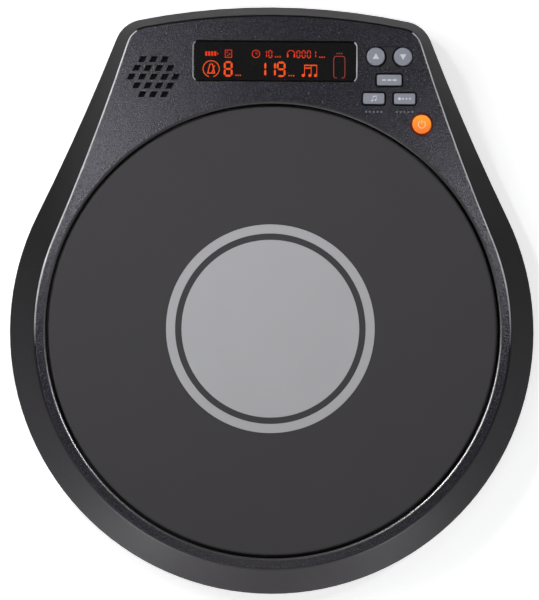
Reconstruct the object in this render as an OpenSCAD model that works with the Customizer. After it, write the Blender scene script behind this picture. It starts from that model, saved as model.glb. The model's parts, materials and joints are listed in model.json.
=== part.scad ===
// Electronic drum practice pad: a round rubber playing head in a moulded case, with a control head behind it.
// Millimetres, +Z up. Plan positions inside the modules are measured from the middle of the playing head.

/* [Playing head] */
// Radius of the rubber playing head
pad_r = 127; // [122:0.5:132]
// Thickness of the rubber playing head
pad_t = 5.5; // [4.5:0.1:6.5]
// Rounding of the rubber's upper edge
pad_edge_r = 1.6; // [0.8:0.1:2.4]
// Height of the rubber above the deck
pad_proud = 1; // [0.4:0.1:1.6]
// Gap between the rubber and the wall of its well
well_gap = 2.3; // [1.5:0.1:3]
// Wall round the well
well_wall = 2.5; // [2:0.1:3]
// Thickness of the well's floor
well_floor_t = 3; // [2:0.1:3.6]
// Radius of the opening in the well's floor for the sensor
sensor_hole_r = 18; // [16:0.5:24]
// Thickness of the steel plate under the rubber
plate_t = 1.6; // [1:0.1:2.2]
// How far the steel plate stops short of the rubber's edge
plate_inset = 1; // [0.5:0.1:3]
// Thickness of the damping foam under the plate
foam_t = 3.5; // [3:0.1:4.2]
// Radius of the circle of screws that hold the plate
head_screw_ring = 100; // [90:1:108]
// Number of screws that hold the plate
head_screw_n = 6; // [4:1:8]

/* [Target] */
// Radius of the grey target disc
target_disc_r = 50.5; // [40:0.5:60]
// Gap between the disc and the ring round it
target_gap = 3.6; // [2:0.1:8]
// Width of the target ring
target_ring_w = 5.2; // [3:0.1:9]
// Thickness of the target inlays
target_t = 0.6; // [0.4:0.1:1.5]
// Sideways offset of the target from the middle of the head
target_x = -1.4; // [-3:0.1:3]
// Offset of the target towards the control head
target_y = 1.1; // [-3:0.1:3]

/* [Upper shell] */
// Width of the flat deck between the well and the crease
deck_margin = 6.3; // [5.5:0.1:8]
// Outward run of the skirt round the playing head
skirt_run = 15; // [13:0.5:17]
// Outward run of the skirt behind the controls
skirt_run_rear = 7.1; // [6:0.1:9]
// Height of the skirt, from the parting line to the deck
skirt_h = 25; // [24:0.5:28]
// Depth of the control head, from the well to its rear crease
head_depth = 50.6; // [49:0.2:54]
// Distance beyond the well at which the reach of the sides is measured
side_row = 15.9; // [14:0.1:17]
// Deck left beside the speaker, out to the crease
deck_beside = 3.55; // [3.4:0.05:4.5]
// Outward run of the skirt beside the speaker
skirt_run_side = 9.7; // [8.5:0.1:11]
// Radius of the slight hollow in the sides
side_bow = 1400; // [1000:50:3000]
// Radius of the bowed rear edge
rear_arc_r = 384; // [340:1:450]
// Corner radius of the control head at the crease
corner_deck = 13; // [10:0.5:15]
// Corner radius of the control head at the foot of the skirt
corner_foot = 17.8; // [15:0.2:20]
// Wall of the skirt, measured level
wall = 3; // [2.4:0.1:3.4]
// Thickness of the deck
deck_t = 3; // [2.6:0.1:3.4]
// Rounding of the crease
crease_r = 1.5; // [0.8:0.1:2.2]
// Chamfer at the foot of the skirt
foot_edge = 0.6; // [0.3:0.1:1.2]
// Radius of the bead round the well
bead_r = 1; // [0.7:0.1:1.3]
// Height of the bead above the deck
bead_h = 0.6; // [0.3:0.1:0.8]
// Width and depth of the fine groove outside the bead
bead_groove = 0.4; // [0.2:0.1:0.6]

/* [Lower shell] */
// Height of the lower shell, from its underside to the parting line
base_h = 14; // [13.8:0.1:16]
// Thickness of the lower shell's floor
floor_t = 3; // [2.4:0.1:3.2]
// Wall of the lower shell
base_wall = 2.5; // [2:0.1:3]
// Step of the lower shell inside the foot of the skirt
base_step = 1.2; // [0.6:0.1:2]
// Chamfer along the underside
base_chamfer = 4; // [2:0.5:5]
// Height of the tongue that locates the upper shell
tongue_h = 2; // [1:0.1:2.6]
// Thickness of the tongue
tongue_t = 1.5; // [1.2:0.1:2]
// Clearance between the tongue and the skirt
tongue_gap = 0.3; // [0.2:0.1:0.5]
// Height of the thickened rim under the tongue
rim_h = 3; // [2:0.1:4]
// Height of the rubber feet below the underside
foot_h = 4; // [3:0.1:6]
// Radius of the rubber feet
foot_r = 9; // [7:0.1:10]
// Depth of the pockets that hold the feet
foot_pocket = 1; // [0.6:0.1:1.4]
// Bore of the threaded stand insert
socket_r = 3.35; // [2.5:0.05:4.2]
// Length of the threaded stand insert
socket_len = 14; // [12:0.5:16]
// Outer radius of the stand insert
insert_r = 6; // [5:0.1:7]
// Wall of the boss round the stand insert
socket_wall = 5; // [3:0.5:8]
// Radius of the collar round the stand insert, on the underside
collar_r = 17; // [15:0.5:22]
// Height of that collar
collar_h = 1.2; // [0.6:0.1:1.8]

/* [Display] */
// Width of the display window
display_w = 92.5; // [84:0.5:104]
// Height of the display window
display_h = 22.2; // [20:0.1:22.6]
// Corner radius of the display window
display_corner = 2.8; // [1.5:0.1:4]
// Sideways position of the display
display_x = 0.3; // [-0.5:0.1:1.5]
// Gap between the well and the display window
display_gap = 13.1; // [12.8:0.1:13.8]
// Bevel round the display window
window_bevel = 0.7; // [0.3:0.1:1]
// How far the lens lies below the deck
lens_sink = 0.7; // [0.3:0.1:1.2]
// Clearance of the lens in its window
lens_gap = 0.2; // [0.1:0.05:0.3]
// Width of the flange that holds the lens behind the deck
lens_flange = 2; // [1.5:0.1:2.2]
// Thickness of the lens flange
lens_flange_t = 1.4; // [1:0.1:2]
// Thickness of the lit segments
segment_t = 0.15; // [0.1:0.05:0.4]

/* [Keys] */
// Distance from the display to the middle of the key block
keys_gap = 18.95; // [18:0.05:20]
// Distance of the up and down keys beyond the well
arrow_row = 27.2; // [26.8:0.1:28]
// Distance of the mode key beyond the well
mode_row = 13.8; // [13.4:0.1:14.4]
// Distance of the sound and beat keys beyond the well
pair_row = 3.2; // [2.8:0.1:3.6]
// How far the power key lies short of the well's rear
power_row = 11.3; // [10:0.1:12]
// Radius of the up and down keys
key_r = 5.2; // [4.6:0.1:5.6]
// Distance between the up and down keys
key_pitch = 15.5; // [14.6:0.1:16]
// Width of the mode key
mode_w = 14; // [12:0.1:15]
// Width of the sound and beat keys
pair_w = 12.1; // [10:0.1:13]
// Distance between the sound and beat keys
pair_pitch = 17.6; // [16.8:0.1:18]
// Height of the oblong keys
key_h = 6.2; // [5.2:0.1:6.6]
// Corner radius of the oblong keys
key_corner = 1; // [0.6:0.1:1.6]
// Radius of the power key
power_r = 5.7; // [5:0.1:6.2]
// Distance of the power key beyond the middle of the key block
power_shift = 18.6; // [17:0.1:19.2]
// Height of the keys above the deck
key_proud = 1.2; // [1:0.1:2]
// Travel of the keys
key_travel = 0.8; // [0.4:0.1:0.9]
// Clearance of the keys in the deck
key_gap = 0.3; // [0.2:0.05:0.4]
// Width of the lip that keeps a key under the deck
key_lip = 1.2; // [0.8:0.1:1.3]
// Thickness of the lip
key_lip_t = 1.4; // [1:0.1:1.6]
// Depth of the shared recess round the up and down keys
recess_d = 1; // [0.5:0.1:1.4]
// Margin of that recess round the keys
recess_margin = 0.65; // [0.5:0.05:1]

/* [Speaker] */
// Distance from the display to the speaker's middle
speaker_gap = 22.9; // [22.3:0.05:24]
// Distance of the speaker's middle beyond the well
speaker_row = 14.8; // [14.4:0.1:15.4]
// Radius of the speaker's flange
speaker_r = 17.7; // [17.2:0.1:17.8]
// Width of the gasket between the flange and the deck
gasket_w = 1.7; // [1.4:0.1:1.9]
// Thickness of the gasket
gasket_t = 1.8; // [1.4:0.1:2.4]
// Depth of the speaker's basket
basket_d = 8; // [7:0.5:9]
// Radius of the speaker's magnet
magnet_r = 10; // [8:0.5:11]
// Thickness of the speaker's magnet
magnet_t = 6; // [4:0.5:7]
// Distance between the grille slots in a row
slot_pitch = 6.33; // [6:0.01:6.5]
// Distance between the rows of grille slots
slot_row = 5; // [4.6:0.1:5.2]
// Width of a grille slot
slot_w = 3.6; // [2.8:0.1:4]
// Height of a grille slot
slot_h = 3.3; // [2.8:0.1:3.6]
// Sideways lean of a grille slot
slot_lean = 1.5; // [0:0.1:2]

/* [Rear panel] */
// Width of the bay in the rear wall
bay_w = 100; // [90:1:110]
// Sideways position of the bay
bay_x = 4; // [3:0.5:5]
// Depth of the bay behind the rear wall
bay_depth = 6; // [5.6:0.1:7]
// Thickness of the jack panel
panel_t = 2.5; // [2:0.1:3]
// Thickness of the bay's roof
roof_t = 2; // [1.4:0.1:2.2]
// Bore of the jacks
jack_r = 1.8; // [1.7:0.05:2]
// Depth of the jacks' bores
jack_depth = 14; // [13:0.5:15]
// Outer radius of the jacks' nozzles
nozzle_r = 3; // [2.6:0.1:3.2]
// Distance of the line-in jack from the left end of the bay
aux_in = 16; // [14:0.5:18]
// Distance between the line-in jack and the phones jack
jack_pitch = 20; // [14:0.5:22]
// Distance of the charging port from the middle of the bay
charge_shift = 8; // [4:0.5:11]
// Distance of the volume wheel from the right end of the bay
wheel_in = 16; // [16:0.5:18]
// Radius of the volume wheel
wheel_r = 8.5; // [8:0.1:8.8]
// Thickness of the volume wheel
wheel_t = 3; // [2.4:0.1:3.4]
// How far the volume wheel stands out of the panel
wheel_proud = 2.2; // [1.6:0.1:2.4]
// Radius of the volume wheel's pin
pin_r = 1.5; // [1.2:0.1:2]
// Running clearance of the wheel on its pin
pin_fit = 0.05; // [0.02:0.01:0.08]

/* [Boards and battery] */
// Thickness of the circuit boards
board_t = 1.6; // [1.2:0.1:2]
// Distance from the deck's underside down to the control board
board_drop = 8.4; // [8:0.1:9]
// Height of the main board above the lower shell's floor
main_lift = 8; // [7.8:0.1:8.4]
// Radius of a battery cell
cell_r = 9.2; // [7:0.1:9.4]
// Length of a battery cell
cell_len = 65; // [50:1:70]
// Distance of the battery from the middle of the playing head
battery_y = 80; // [78:1:86]
// Wall of the battery's cradle
cradle_wall = 2; // [1.5:0.1:3]
// Height of the battery's cradle
cradle_h = 8; // [5:0.5:10]
// Radius of the sensor's brass disc
piezo_r = 13.5; // [10:0.5:14.5]

/* [Fasteners] */
// Shank radius of the case screws
screw_r = 1.5; // [1.2:0.1:1.8]
// Head radius of the case screws
screw_head_r = 2.8; // [2.4:0.1:3]
// Head height of the screws
screw_head_h = 2; // [1.4:0.1:2]
// Radius of the case bosses
boss_r = 4.5; // [4:0.1:4.8]
// Depth of the case screws' counterbores
case_sink = 4; // [3:0.1:4.4]
// Shank radius of the small screws
small_r = 1; // [0.8:0.1:1.2]
// Head radius of the small screws
small_head_r = 2; // [1.6:0.1:2.2]
// Radius of the posts for small screws
post_r = 2.4; // [2.2:0.1:2.6]
// Clearance of a screw in its thread
thread_gap = 0.05; // [0:0.01:0.1]
// Clearance of a screw in a through hole
hole_gap = 0.2; // [0.1:0.05:0.3]

/* [Hidden] */
$fn = 64;

// Levels, from the surface the feet stand on
z_under = foot_h;
z_floor = z_under + floor_t;
z_part = z_under + base_h;
z_deck = z_part + skirt_h;
z_deck_low = z_deck - deck_t;
z_pad_top = z_deck + pad_proud;
z_plate_top = z_pad_top - pad_t;
z_plate = z_plate_top - plate_t;
z_well = z_plate - foam_t;
z_well_low = z_well - well_floor_t;
z_control_top = z_deck_low - board_drop;
z_control = z_control_top - board_t;
z_main = z_floor + main_lift;
z_main_top = z_main + board_t;

// Plan sizes that follow from the driving ones
well_r = pad_r + well_gap;
well_out_r = well_r + well_wall;
plate_r = pad_r - plate_inset;
target_at = [target_x, target_y];
target_ring_in = target_disc_r + target_gap;
target_ring_out = target_ring_in + target_ring_w;
crease_circle_r = well_r + deck_margin;
body_r = crease_circle_r + skirt_run;
crease_rear = well_r + head_depth;
body_rear = crease_rear + skirt_run_rear;
overlap = 1;
slack = 0.3;

// The outline of the case: its round radius, reach beside the speaker, corner radius and rear reach
speaker_x = display_x - display_w / 2 - speaker_gap;
speaker_y = well_r + speaker_row;
crease_side = speaker_r + deck_beside - speaker_x;
crease_line = [crease_circle_r, crease_side, corner_deck, crease_rear];
foot_line = [body_r, crease_side + skirt_run_side, corner_foot, body_rear];
round_steps = 40;
side_steps = 5;
corner_steps = 8;
rear_steps = 5;
crease_steps = 4;

// Places on the deck
display_y = well_r + display_gap + display_h / 2;
arrow_y = well_r + arrow_row;
mode_y = well_r + mode_row;
pair_y = well_r + pair_row;
power_y = well_r - power_row;
keys_x = display_x + display_w / 2 + keys_gap;
power_x = keys_x + power_shift;
slot_counts = [3, 4, 5, 4, 3];

// Each key: its place, then its width and corner radius, where a round key has none
up_at = [keys_x - key_pitch / 2, arrow_y];
down_at = [keys_x + key_pitch / 2, arrow_y];
mode_at = [keys_x, mode_y];
sound_at = [keys_x - pair_pitch / 2, pair_y];
beat_at = [keys_x + pair_pitch / 2, pair_y];
power_at = [power_x, power_y];
key_places = [up_at, down_at, mode_at, sound_at, beat_at, power_at];
up_size = [2 * key_r, 2 * key_r, key_r];
mode_size = [mode_w, key_h, key_corner];
pair_size = [pair_w, key_h, key_corner];
power_size = [2 * power_r, 2 * power_r, power_r];
key_sizes = [up_size, up_size, mode_size, pair_size, pair_size, power_size];
lip_top = z_deck_low - slack;
lip_low = lip_top - key_lip_t;

// Tact switches under the keys
switch_w = 6;
switch_h = 3.5;
plunger_r = 1.75;
plunger_out = 0.9;
plunger_in = 0.7;
plunger_gap = 0.15;
z_plunger = z_control_top + switch_h;

// Posts for the control board
post_left = display_x - display_w / 2 + 6;
post_right = display_x + display_w / 2 + lens_flange + post_r + slack;
post_high = display_y + display_h / 2 + lens_flange + post_r + slack;
post_low = display_y - display_h / 2 - lens_flange - post_r - slack;
control_posts = [
    [post_left, post_high], [post_left, post_low], [post_right, post_high], [post_right, mode_y],
    [power_x + 5.6, power_y - 10.5]
];
post_edge = post_r + 1.5;
small_len = 6;

// The speaker, hung from the deck by four ears
z_gasket = z_deck_low - gasket_t;
flange_t = 1.4;
z_flange = z_gasket - flange_t;
z_basket = z_flange - basket_d;
ear_r = post_r + 0.8;
ear_ring = speaker_r + post_r + slack;
ear_angles = [60, 120, 240, 300];
cone_rim = speaker_r - gasket_w;
cloth_t = 0.4;

// Height of the window that the signs are drawn for
sign_window_h = 22.2;

// The rear bay and what sits in it
panel_y = body_rear - base_step - bay_depth;
panel_in_y = panel_y - panel_t;
bay_left = bay_x - bay_w / 2;
bay_right = bay_x + bay_w / 2;
aux_x = bay_left + aux_in;
phones_x = aux_x + jack_pitch;
charge_x = bay_x + charge_shift;
wheel_x = bay_right - wheel_in;
roof_low = z_part - roof_t;
jack_z = z_floor + 4.5;
jack_w = 9;
jack_body_d = jack_depth - panel_t + 1.5;
wheel_y = panel_y + wheel_proud - wheel_r;
wheel_low = jack_z - wheel_t / 2;
wheel_grooves = 30;
pot_w = 2 * (panel_in_y - wheel_y) - 0.2;
charge_w = 9;
charge_h = 3.3;
charge_d = 7.5;
charge_skin = 0.35;
z_charge = z_main - charge_h / 2;

// The main board stands on four posts
main_end = 2;
main_gap = 0.5;
main_depth = 26.5;
main_left = bay_left + main_end;
main_right = bay_right - main_end;
main_rear = panel_in_y - main_gap;
main_front = main_rear - main_depth;
main_post_in = 4;
main_post_left = 3.2;
main_post_right = 2.4;
main_post_wheel = 7.5;
main_posts = [
    [main_left + main_post_left, main_front + main_post_in],
    [main_right - main_post_right, main_front + main_post_in],
    [main_left + main_post_left, main_rear - main_post_in],
    [main_right - main_post_right, main_rear - main_post_wheel]
];

// The ribbon between the two boards, and the height of its sockets
ribbon_w = 18;
ribbon_x = bay_x + 4;
ribbon_y = panel_in_y - 12;
socket_h = 3.5;

// Screws that close the case, and the feet between them
case_angles = [-142, -90, -38, 12, 168];
case_ring = well_out_r + boss_r - 0.5;
case_rear = [66, body_rear - 14.5];
case_ring_places = [for (a = case_angles) case_ring * [cos(a), sin(a)]];
case_rear_places = [case_rear, [-case_rear.x, case_rear.y]];
case_places = concat(case_ring_places, case_rear_places);
case_seat = z_under + case_sink;
case_len = base_h - case_sink + 10;
foot_angles = [-116, -64, -12, 192];
foot_ring = body_r - 22;
foot_rear = [72, body_rear - 30];
foot_places = concat(
    [for (a = foot_angles) foot_ring * [cos(a), sin(a)]],
    [foot_rear, [-foot_rear.x, foot_rear.y]]
);

// The stand insert ends flush with its collar
z_socket = z_under - collar_h;
socket_cap = 2;

// The battery lies across the lower shell in its cradle
cell_lift = 0.2;
cell_gap = 0.4;
z_cell = z_floor + cell_lift + cell_r;
cell_offset = cell_r + cell_gap / 2;
cradle_x = cell_len / 2 + slack;
cradle_y = 2 * cell_r + cell_gap / 2 + slack;
clamp_post_r = 4;
clamp_post_y = cradle_y + cradle_wall + clamp_post_r;
clamp_posts = [for (side = [-1, 1]) [0, battery_y + side * clamp_post_y]];
clamp_w = 16;
clamp_t = 1.5;
z_clamp = z_cell + cell_r + slack;

// The sensor hangs under the middle of the steel plate
piezo_t = 0.4;
ceramic_r = 10;
ceramic_t = 0.3;
z_piezo = z_plate - piezo_t;
z_ceramic = z_piezo - ceramic_t;

// Inner leads, from one piece to the next
lead_r = 1;
lead_sides = 8;
piezo_route = [
    [5, 0, z_ceramic], [5, 0, 33], [6, 2, 30], [11, 9, 27], [22, 22, 24.5], [38, 48, 21.5], [50, 80, 19],
    [50, 112, 19], [44, 138, 20], [36, 151, 20.5], [34, 154, 19.5], [34, 154, z_main_top]
];
battery_route = [
    [cell_len / 2, battery_y + cell_offset, 19], [36, battery_y + cell_offset, 19], [39, 94, 19.5],
    [37, 112, 20], [30, 132, 20], [20, 147, 20.5], [14, 153, 19.5], [14, 154, 18.5], [14, 154, z_main_top]
];
speaker_route = [
    [speaker_x + speaker_r - 1.1, speaker_y, z_flange], [speaker_x + speaker_r - 1.1, speaker_y, 33],
    [-49, 146, 29], [-44, 149, 24], [-37, 154, 20.5], [-34, 157, 19], [-34, 157, z_main_top]
];

// Points along an arc, without its last one
function arc_points(c, r, from, to, n) =
    [for (i = [0 : n - 1]) let (a = from + (to - from) * i / n) c + r * [cos(a), sin(a)]];

// Where two circles meet, on the left going from the first centre to the second
function meet(c1, r1, c2, r2) =
    let (
        gap = norm(c2 - c1),
        u = (c2 - c1) / gap,
        along = (gap * gap + r1 * r1 - r2 * r2) / (2 * gap),
        across = sqrt(r1 * r1 - along * along)
    )
    c1 + along * u + across * [-u.y, u.x];

function bearing(from, to) = atan2(to.y - from.y, to.x - from.x);

// The right half of the case outline, from front to rear, moved inwards by d
function half_outline(line, d) =
    let (
        side = meet([line[1], well_r + side_row], side_bow, [0, 0], line[0] + side_bow),
        lean = bearing([0, 0], side),
        rear = [0, line[3] - rear_arc_r],
        corner = meet(rear, rear_arc_r - line[2], side, side_bow + line[2]),
        corner_from = bearing(corner, side),
        corner_to = bearing(rear, corner)
    )
    concat(
        arc_points([0, 0], line[0] - d, -90, lean, round_steps),
        arc_points(side, side_bow + d, lean + 180, corner_from + 180, side_steps),
        arc_points(corner, line[2] - d, corner_from, corner_to, corner_steps),
        arc_points(rear, rear_arc_r - d, corner_to, 90, rear_steps),
        [[0, line[3] - d]]
    );

function outline(line, d) =
    let (half = half_outline(line, d))
    concat(half, [for (i = [len(half) - 2 : -1 : 1]) [-half[i].x, half[i].y]]);

function at_height(points, z) = [for (p = points) [p.x, p.y, z]];

// A solid through closed rings of points, from the lowest to the highest
module loft(rings) {
    n = len(rings[0]);
    top = len(rings) - 1;
    low_mid = n * (top + 1);
    points = concat(
        [for (ring = rings) each ring],
        [[0, 0, rings[0][0].z], [0, 0, rings[top][0].z]]
    );
    sides = [
        for (k = [0 : top - 1], i = [0 : n - 1])
        let (a = k * n + i, b = k * n + (i + 1) % n)
        each [[a, a + n, b + n], [a, b + n, b]]
    ];
    caps = [
        for (i = [0 : n - 1])
        let (j = (i + 1) % n)
        each [[low_mid, i, j], [low_mid + 1, top * n + j, top * n + i]]
    ];
    polyhedron(points, concat(sides, caps));
}

// A round tube along a route
module tube(route, r, n) {
    last = len(route) - 1;
    along = [
        for (i = [0 : last])
        let (d = route[min(i + 1, last)] - route[max(i - 1, 0)])
        d / norm(d)
    ];
    rings = [
        for (i = [0 : last])
        let (
            level = cross(along[i], [0.3, -1, 0.2]),
            u = level / norm(level),
            v = cross(along[i], u)
        )
        [for (k = [0 : n - 1]) let (a = 360 * k / n) route[i] + r * (cos(a) * u + sin(a) * v)]
    ];
    sides = [
        for (k = [0 : last - 1], i = [0 : n - 1])
        let (a = k * n + i, b = k * n + (i + 1) % n)
        each [[a, a + n, b + n], [a, b + n, b]]
    ];
    ends = [[for (i = [0 : n - 1]) i], [for (i = [n - 1 : -1 : 0]) last * n + i]];
    polyhedron([for (ring = rings) each ring], concat(sides, ends));
}

module block(from, to) {
    translate(from)
        cube(to - from);
}

module rounded_plate(w, h, r) {
    if (2 * r > min(w, h) - 0.01) {
        circle(r);
    } else {
        square([w - 2 * r, h], center = true);
        square([w, h - 2 * r], center = true);
        for (sx = [-1, 1], sy = [-1, 1])
            translate([sx * (w / 2 - r), sy * (h / 2 - r)])
                circle(r);
    }
}

module slab(z, t) {
    translate([0, 0, z])
        linear_extrude(t)
            children();
}

module rod(at, z, h, r) {
    translate([at.x, at.y, z])
        cylinder(h = h, r = r);
}

// A screw that stands on its head, with a crossed slot in it
module screw(at, z, dir, head_r, head_h, shank_r, len) {
    slot_w = head_r * 0.3;
    translate([at.x, at.y, z])
        mirror([0, 0, dir > 0 ? 0 : 1]) {
            difference() {
                translate([0, 0, -head_h])
                    cylinder(h = head_h, r = head_r);
                for (a = [0, 90])
                    rotate(a)
                        translate([0, 0, -head_h])
                            cube([head_r * 1.3, slot_w, head_h], center = true);
            }
            cylinder(h = len, r = shank_r);
        }
}

// Moves a piece from the middle of the playing head to the middle of the case
module seated() {
    translate([0, (body_r - body_rear) / 2, 0])
        children();
}

module skirt_block() {
    foot = at_height(outline(foot_line, 0), z_part + foot_edge);
    crest = at_height(outline(crease_line, 0), z_deck);
    flat = at_height(outline(crease_line, crease_r), z_deck);
    low = crest + (foot - crest) * crease_r / skirt_h;
    crease = [
        for (i = [0 : crease_steps])
        let (u = i / crease_steps)
        (1 - u) * (1 - u) * low + 2 * u * (1 - u) * crest + u * u * flat
    ];
    loft(concat([at_height(outline(foot_line, foot_edge), z_part), foot], crease));
}

module skirt_cavity() {
    foot = outline(foot_line, wall);
    loft([
        at_height(foot, z_part - overlap),
        at_height(foot, z_part),
        at_height(outline(crease_line, wall - slack), z_deck_low)
    ]);
}

module grille_slot() {
    lean = slot_lean / 2;
    polygon([
        [-slot_w / 2 - lean, -slot_h / 2], [slot_w / 2 - lean, -slot_h / 2],
        [slot_w / 2 + lean, slot_h / 2], [-slot_w / 2 + lean, slot_h / 2]
    ]);
}

module grille_slots() {
    middle = (len(slot_counts) - 1) / 2;
    for (row = [0 : len(slot_counts) - 1], i = [0 : slot_counts[row] - 1])
        translate([(i - (slot_counts[row] - 1) / 2) * slot_pitch, (middle - row) * slot_row])
            grille_slot();
}

module display_window() {
    grow = window_bevel + 0.01;
    translate([display_x, display_y]) {
        slab(z_deck_low - overlap, deck_t + 2 * overlap)
            rounded_plate(display_w, display_h, display_corner);
        hull() {
            slab(z_deck - window_bevel, 0.01)
                rounded_plate(display_w, display_h, display_corner, $fn = 32);
            slab(z_deck + 0.01, 0.01)
                rounded_plate(display_w + 2 * grow, display_h + 2 * grow, display_corner + grow, $fn = 32);
        }
    }
}

module key_holes() {
    for (i = [0 : len(key_places) - 1])
        translate(key_places[i])
            slab(z_deck_low - overlap, deck_t + 2 * overlap)
                rounded_plate(
                    key_sizes[i].x + 2 * key_gap, key_sizes[i].y + 2 * key_gap, key_sizes[i].z + key_gap
                );
    slab(z_deck - recess_d, recess_d + overlap) {
        translate([keys_x, arrow_y])
            square([key_pitch, 2 * (key_r + recess_margin)], center = true);
        for (at = [up_at, down_at])
            translate(at)
                circle(key_r + recess_margin);
    }
}

module well_bead() {
    rotate_extrude()
        translate([well_r + 0.9 * bead_r, z_deck - bead_r + bead_h])
            circle(bead_r, $fn = 32);
}

module bead_groove_ring() {
    rotate_extrude()
        translate([well_r + 2 * bead_r + 0.1, z_deck - bead_groove])
            square([bead_groove, bead_groove + overlap]);
}

module speaker_places() {
    for (a = ear_angles)
        translate([speaker_x + ear_ring * cos(a), speaker_y + ear_ring * sin(a)])
            children();
}

module upper_shell() {
    color("#2b2a2c")
        difference() {
            union() {
                difference() {
                    skirt_block();
                    skirt_cavity();
                }
                rod([0, 0], z_well_low, z_deck - overlap - z_well_low, well_out_r);
                well_bead();
                for (at = control_posts)
                    rod(at, z_control_top, z_deck_low + overlap - z_control_top, post_r);
                speaker_places()
                    rod([0, 0], z_gasket, gasket_t + overlap, post_r);
                for (at = case_ring_places)
                    rod(at, z_part, z_well_low + overlap - z_part, boss_r);
                for (at = case_rear_places)
                    rod(at, z_part, z_control - slack - z_part, boss_r);
            }
            rod([0, 0], z_well, z_deck + 2 * overlap - z_well, well_r);
            rod([0, 0], z_well_low - overlap, well_floor_t + 2 * overlap, sensor_hole_r);
            bead_groove_ring();
            for (a = [0 : head_screw_n - 1])
                rod(head_screw_at(a), z_well_low - overlap, well_floor_t + 2 * overlap, screw_r + hole_gap);
            display_window();
            key_holes();
            translate([speaker_x, speaker_y])
                slab(z_deck_low - overlap, deck_t + 2 * overlap)
                    grille_slots();
            for (at = control_posts)
                rod(at, z_control_top - overlap, small_len + overlap, small_r + thread_gap);
            speaker_places()
                rod([0, 0], z_gasket - overlap, gasket_t + 2 + overlap, small_r + thread_gap);
            for (at = case_places)
                rod(at, z_part - overlap, case_seat + case_len - z_part + 2 * overlap, screw_r + thread_gap);
        }
}

function head_screw_at(i) = head_screw_ring * [cos(360 * i / head_screw_n), sin(360 * i / head_screw_n)];

module rim_ring(from_d, to_d, z, h) {
    slab(z, h)
        difference() {
            polygon(outline(foot_line, from_d));
            polygon(outline(foot_line, to_d));
        }
}

module bay_cut() {
    block(
        [bay_left, panel_in_y, z_floor],
        [bay_right, body_rear + overlap, z_part + tongue_h + overlap]
    );
}

module cradle() {
    difference() {
        block(
            [-cradle_x - cradle_wall, battery_y - cradle_y - cradle_wall, z_floor - overlap],
            [cradle_x + cradle_wall, battery_y + cradle_y + cradle_wall, z_floor + cradle_h]
        );
        block(
            [-cradle_x, battery_y - cradle_y, z_floor],
            [cradle_x, battery_y + cradle_y, z_floor + cradle_h + overlap]
        );
    }
    for (at = clamp_posts)
        rod(at, z_floor - overlap, z_clamp - z_floor + overlap, clamp_post_r);
}

module lower_shell() {
    tongue_d = wall + skirt_run * tongue_h / skirt_h + tongue_gap;
    color("#29282a")
        difference() {
            union() {
                difference() {
                    loft([
                        at_height(outline(foot_line, base_step + base_chamfer), z_under),
                        at_height(outline(foot_line, base_step), z_under + base_chamfer),
                        at_height(outline(foot_line, base_step), z_part)
                    ]);
                    slab(z_floor, base_h)
                        polygon(outline(foot_line, base_step + base_wall));
                }
                rim_ring(base_step + base_wall / 2, tongue_d + tongue_t, z_part - rim_h, rim_h);
                rim_ring(tongue_d, tongue_d + tongue_t, z_part - overlap, tongue_h + overlap);
                for (at = case_places)
                    rod(at, z_floor - overlap, z_part - z_floor + overlap, boss_r);
                for (at = main_posts)
                    rod(at, z_floor - overlap, main_lift + overlap, post_r);
                rod([wheel_x, wheel_y], z_floor - overlap, wheel_low - slack - z_floor + overlap, 2 * pin_r);
                rod([0, 0], z_socket, collar_h + overlap, collar_r);
                rod([0, 0], z_under, socket_len - collar_h + socket_cap, insert_r + socket_wall);
                cradle();
            }
            bay_cut();
            rod([0, 0], z_socket - overlap, socket_len + overlap, insert_r);
            for (at = foot_places)
                rod(at, z_under - overlap, foot_pocket + overlap, foot_r + hole_gap);
            for (at = case_places) {
                rod(at, z_under - overlap, case_sink + overlap, screw_head_r + hole_gap);
                rod(at, z_under, base_h + overlap, screw_r + hole_gap);
            }
            for (at = case_rear_places)
                rod(at, z_part, tongue_h + overlap, boss_r + slack);
            for (at = main_posts)
                rod(at, z_main - small_len, small_len + overlap, small_r + thread_gap);
            for (at = clamp_posts)
                rod(at, z_clamp - small_len, small_len + overlap, small_r + thread_gap);
        }
}

module rubber_feet() {
    lip = 0.8;
    color("#1c1c1d")
        for (at = foot_places)
            translate([at.x, at.y, 0])
                rotate_extrude()
                    polygon([
                        [0, 0], [foot_r - 2 * lip, 0], [foot_r - lip, lip], [foot_r, foot_h],
                        [foot_r, foot_h + foot_pocket], [0, foot_h + foot_pocket]
                    ]);
}

module stand_insert() {
    color("#b8954a")
        difference() {
            rod([0, 0], z_socket, socket_len, insert_r);
            rod([0, 0], z_socket - overlap, socket_len + 2 * overlap, socket_r);
        }
}

module case_screws() {
    color("#55565a")
        for (at = case_places)
            screw(at, case_seat, 1, screw_head_r, screw_head_h, screw_r, case_len);
}

module rubber_head() {
    round = pad_edge_r;
    steps = 6;
    color("#474549")
        difference() {
            rotate_extrude($fn = 128)
                polygon(concat(
                    [[0, z_plate_top], [pad_r, z_plate_top]],
                    [
                        for (i = [0 : steps])
                        let (a = 90 * i / steps)
                        [pad_r - round + round * cos(a), z_pad_top - round + round * sin(a)]
                    ],
                    [[0, z_pad_top]]
                ));
            rod(target_at, z_pad_top - target_t, target_t + overlap, target_disc_r);
            difference() {
                rod(target_at, z_pad_top - target_t, target_t + overlap, target_ring_out);
                rod(target_at, z_pad_top - 2 * target_t, 3 * target_t + overlap, target_ring_in);
            }
        }
}

module target_disc() {
    color("#a7a7a9")
        rod(target_at, z_pad_top - target_t, target_t, target_disc_r);
}

module target_ring() {
    color("#afafb2")
        difference() {
            rod(target_at, z_pad_top - target_t, target_t, target_ring_out);
            rod(target_at, z_pad_top - 2 * target_t, 3 * target_t, target_ring_in);
        }
}

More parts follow.
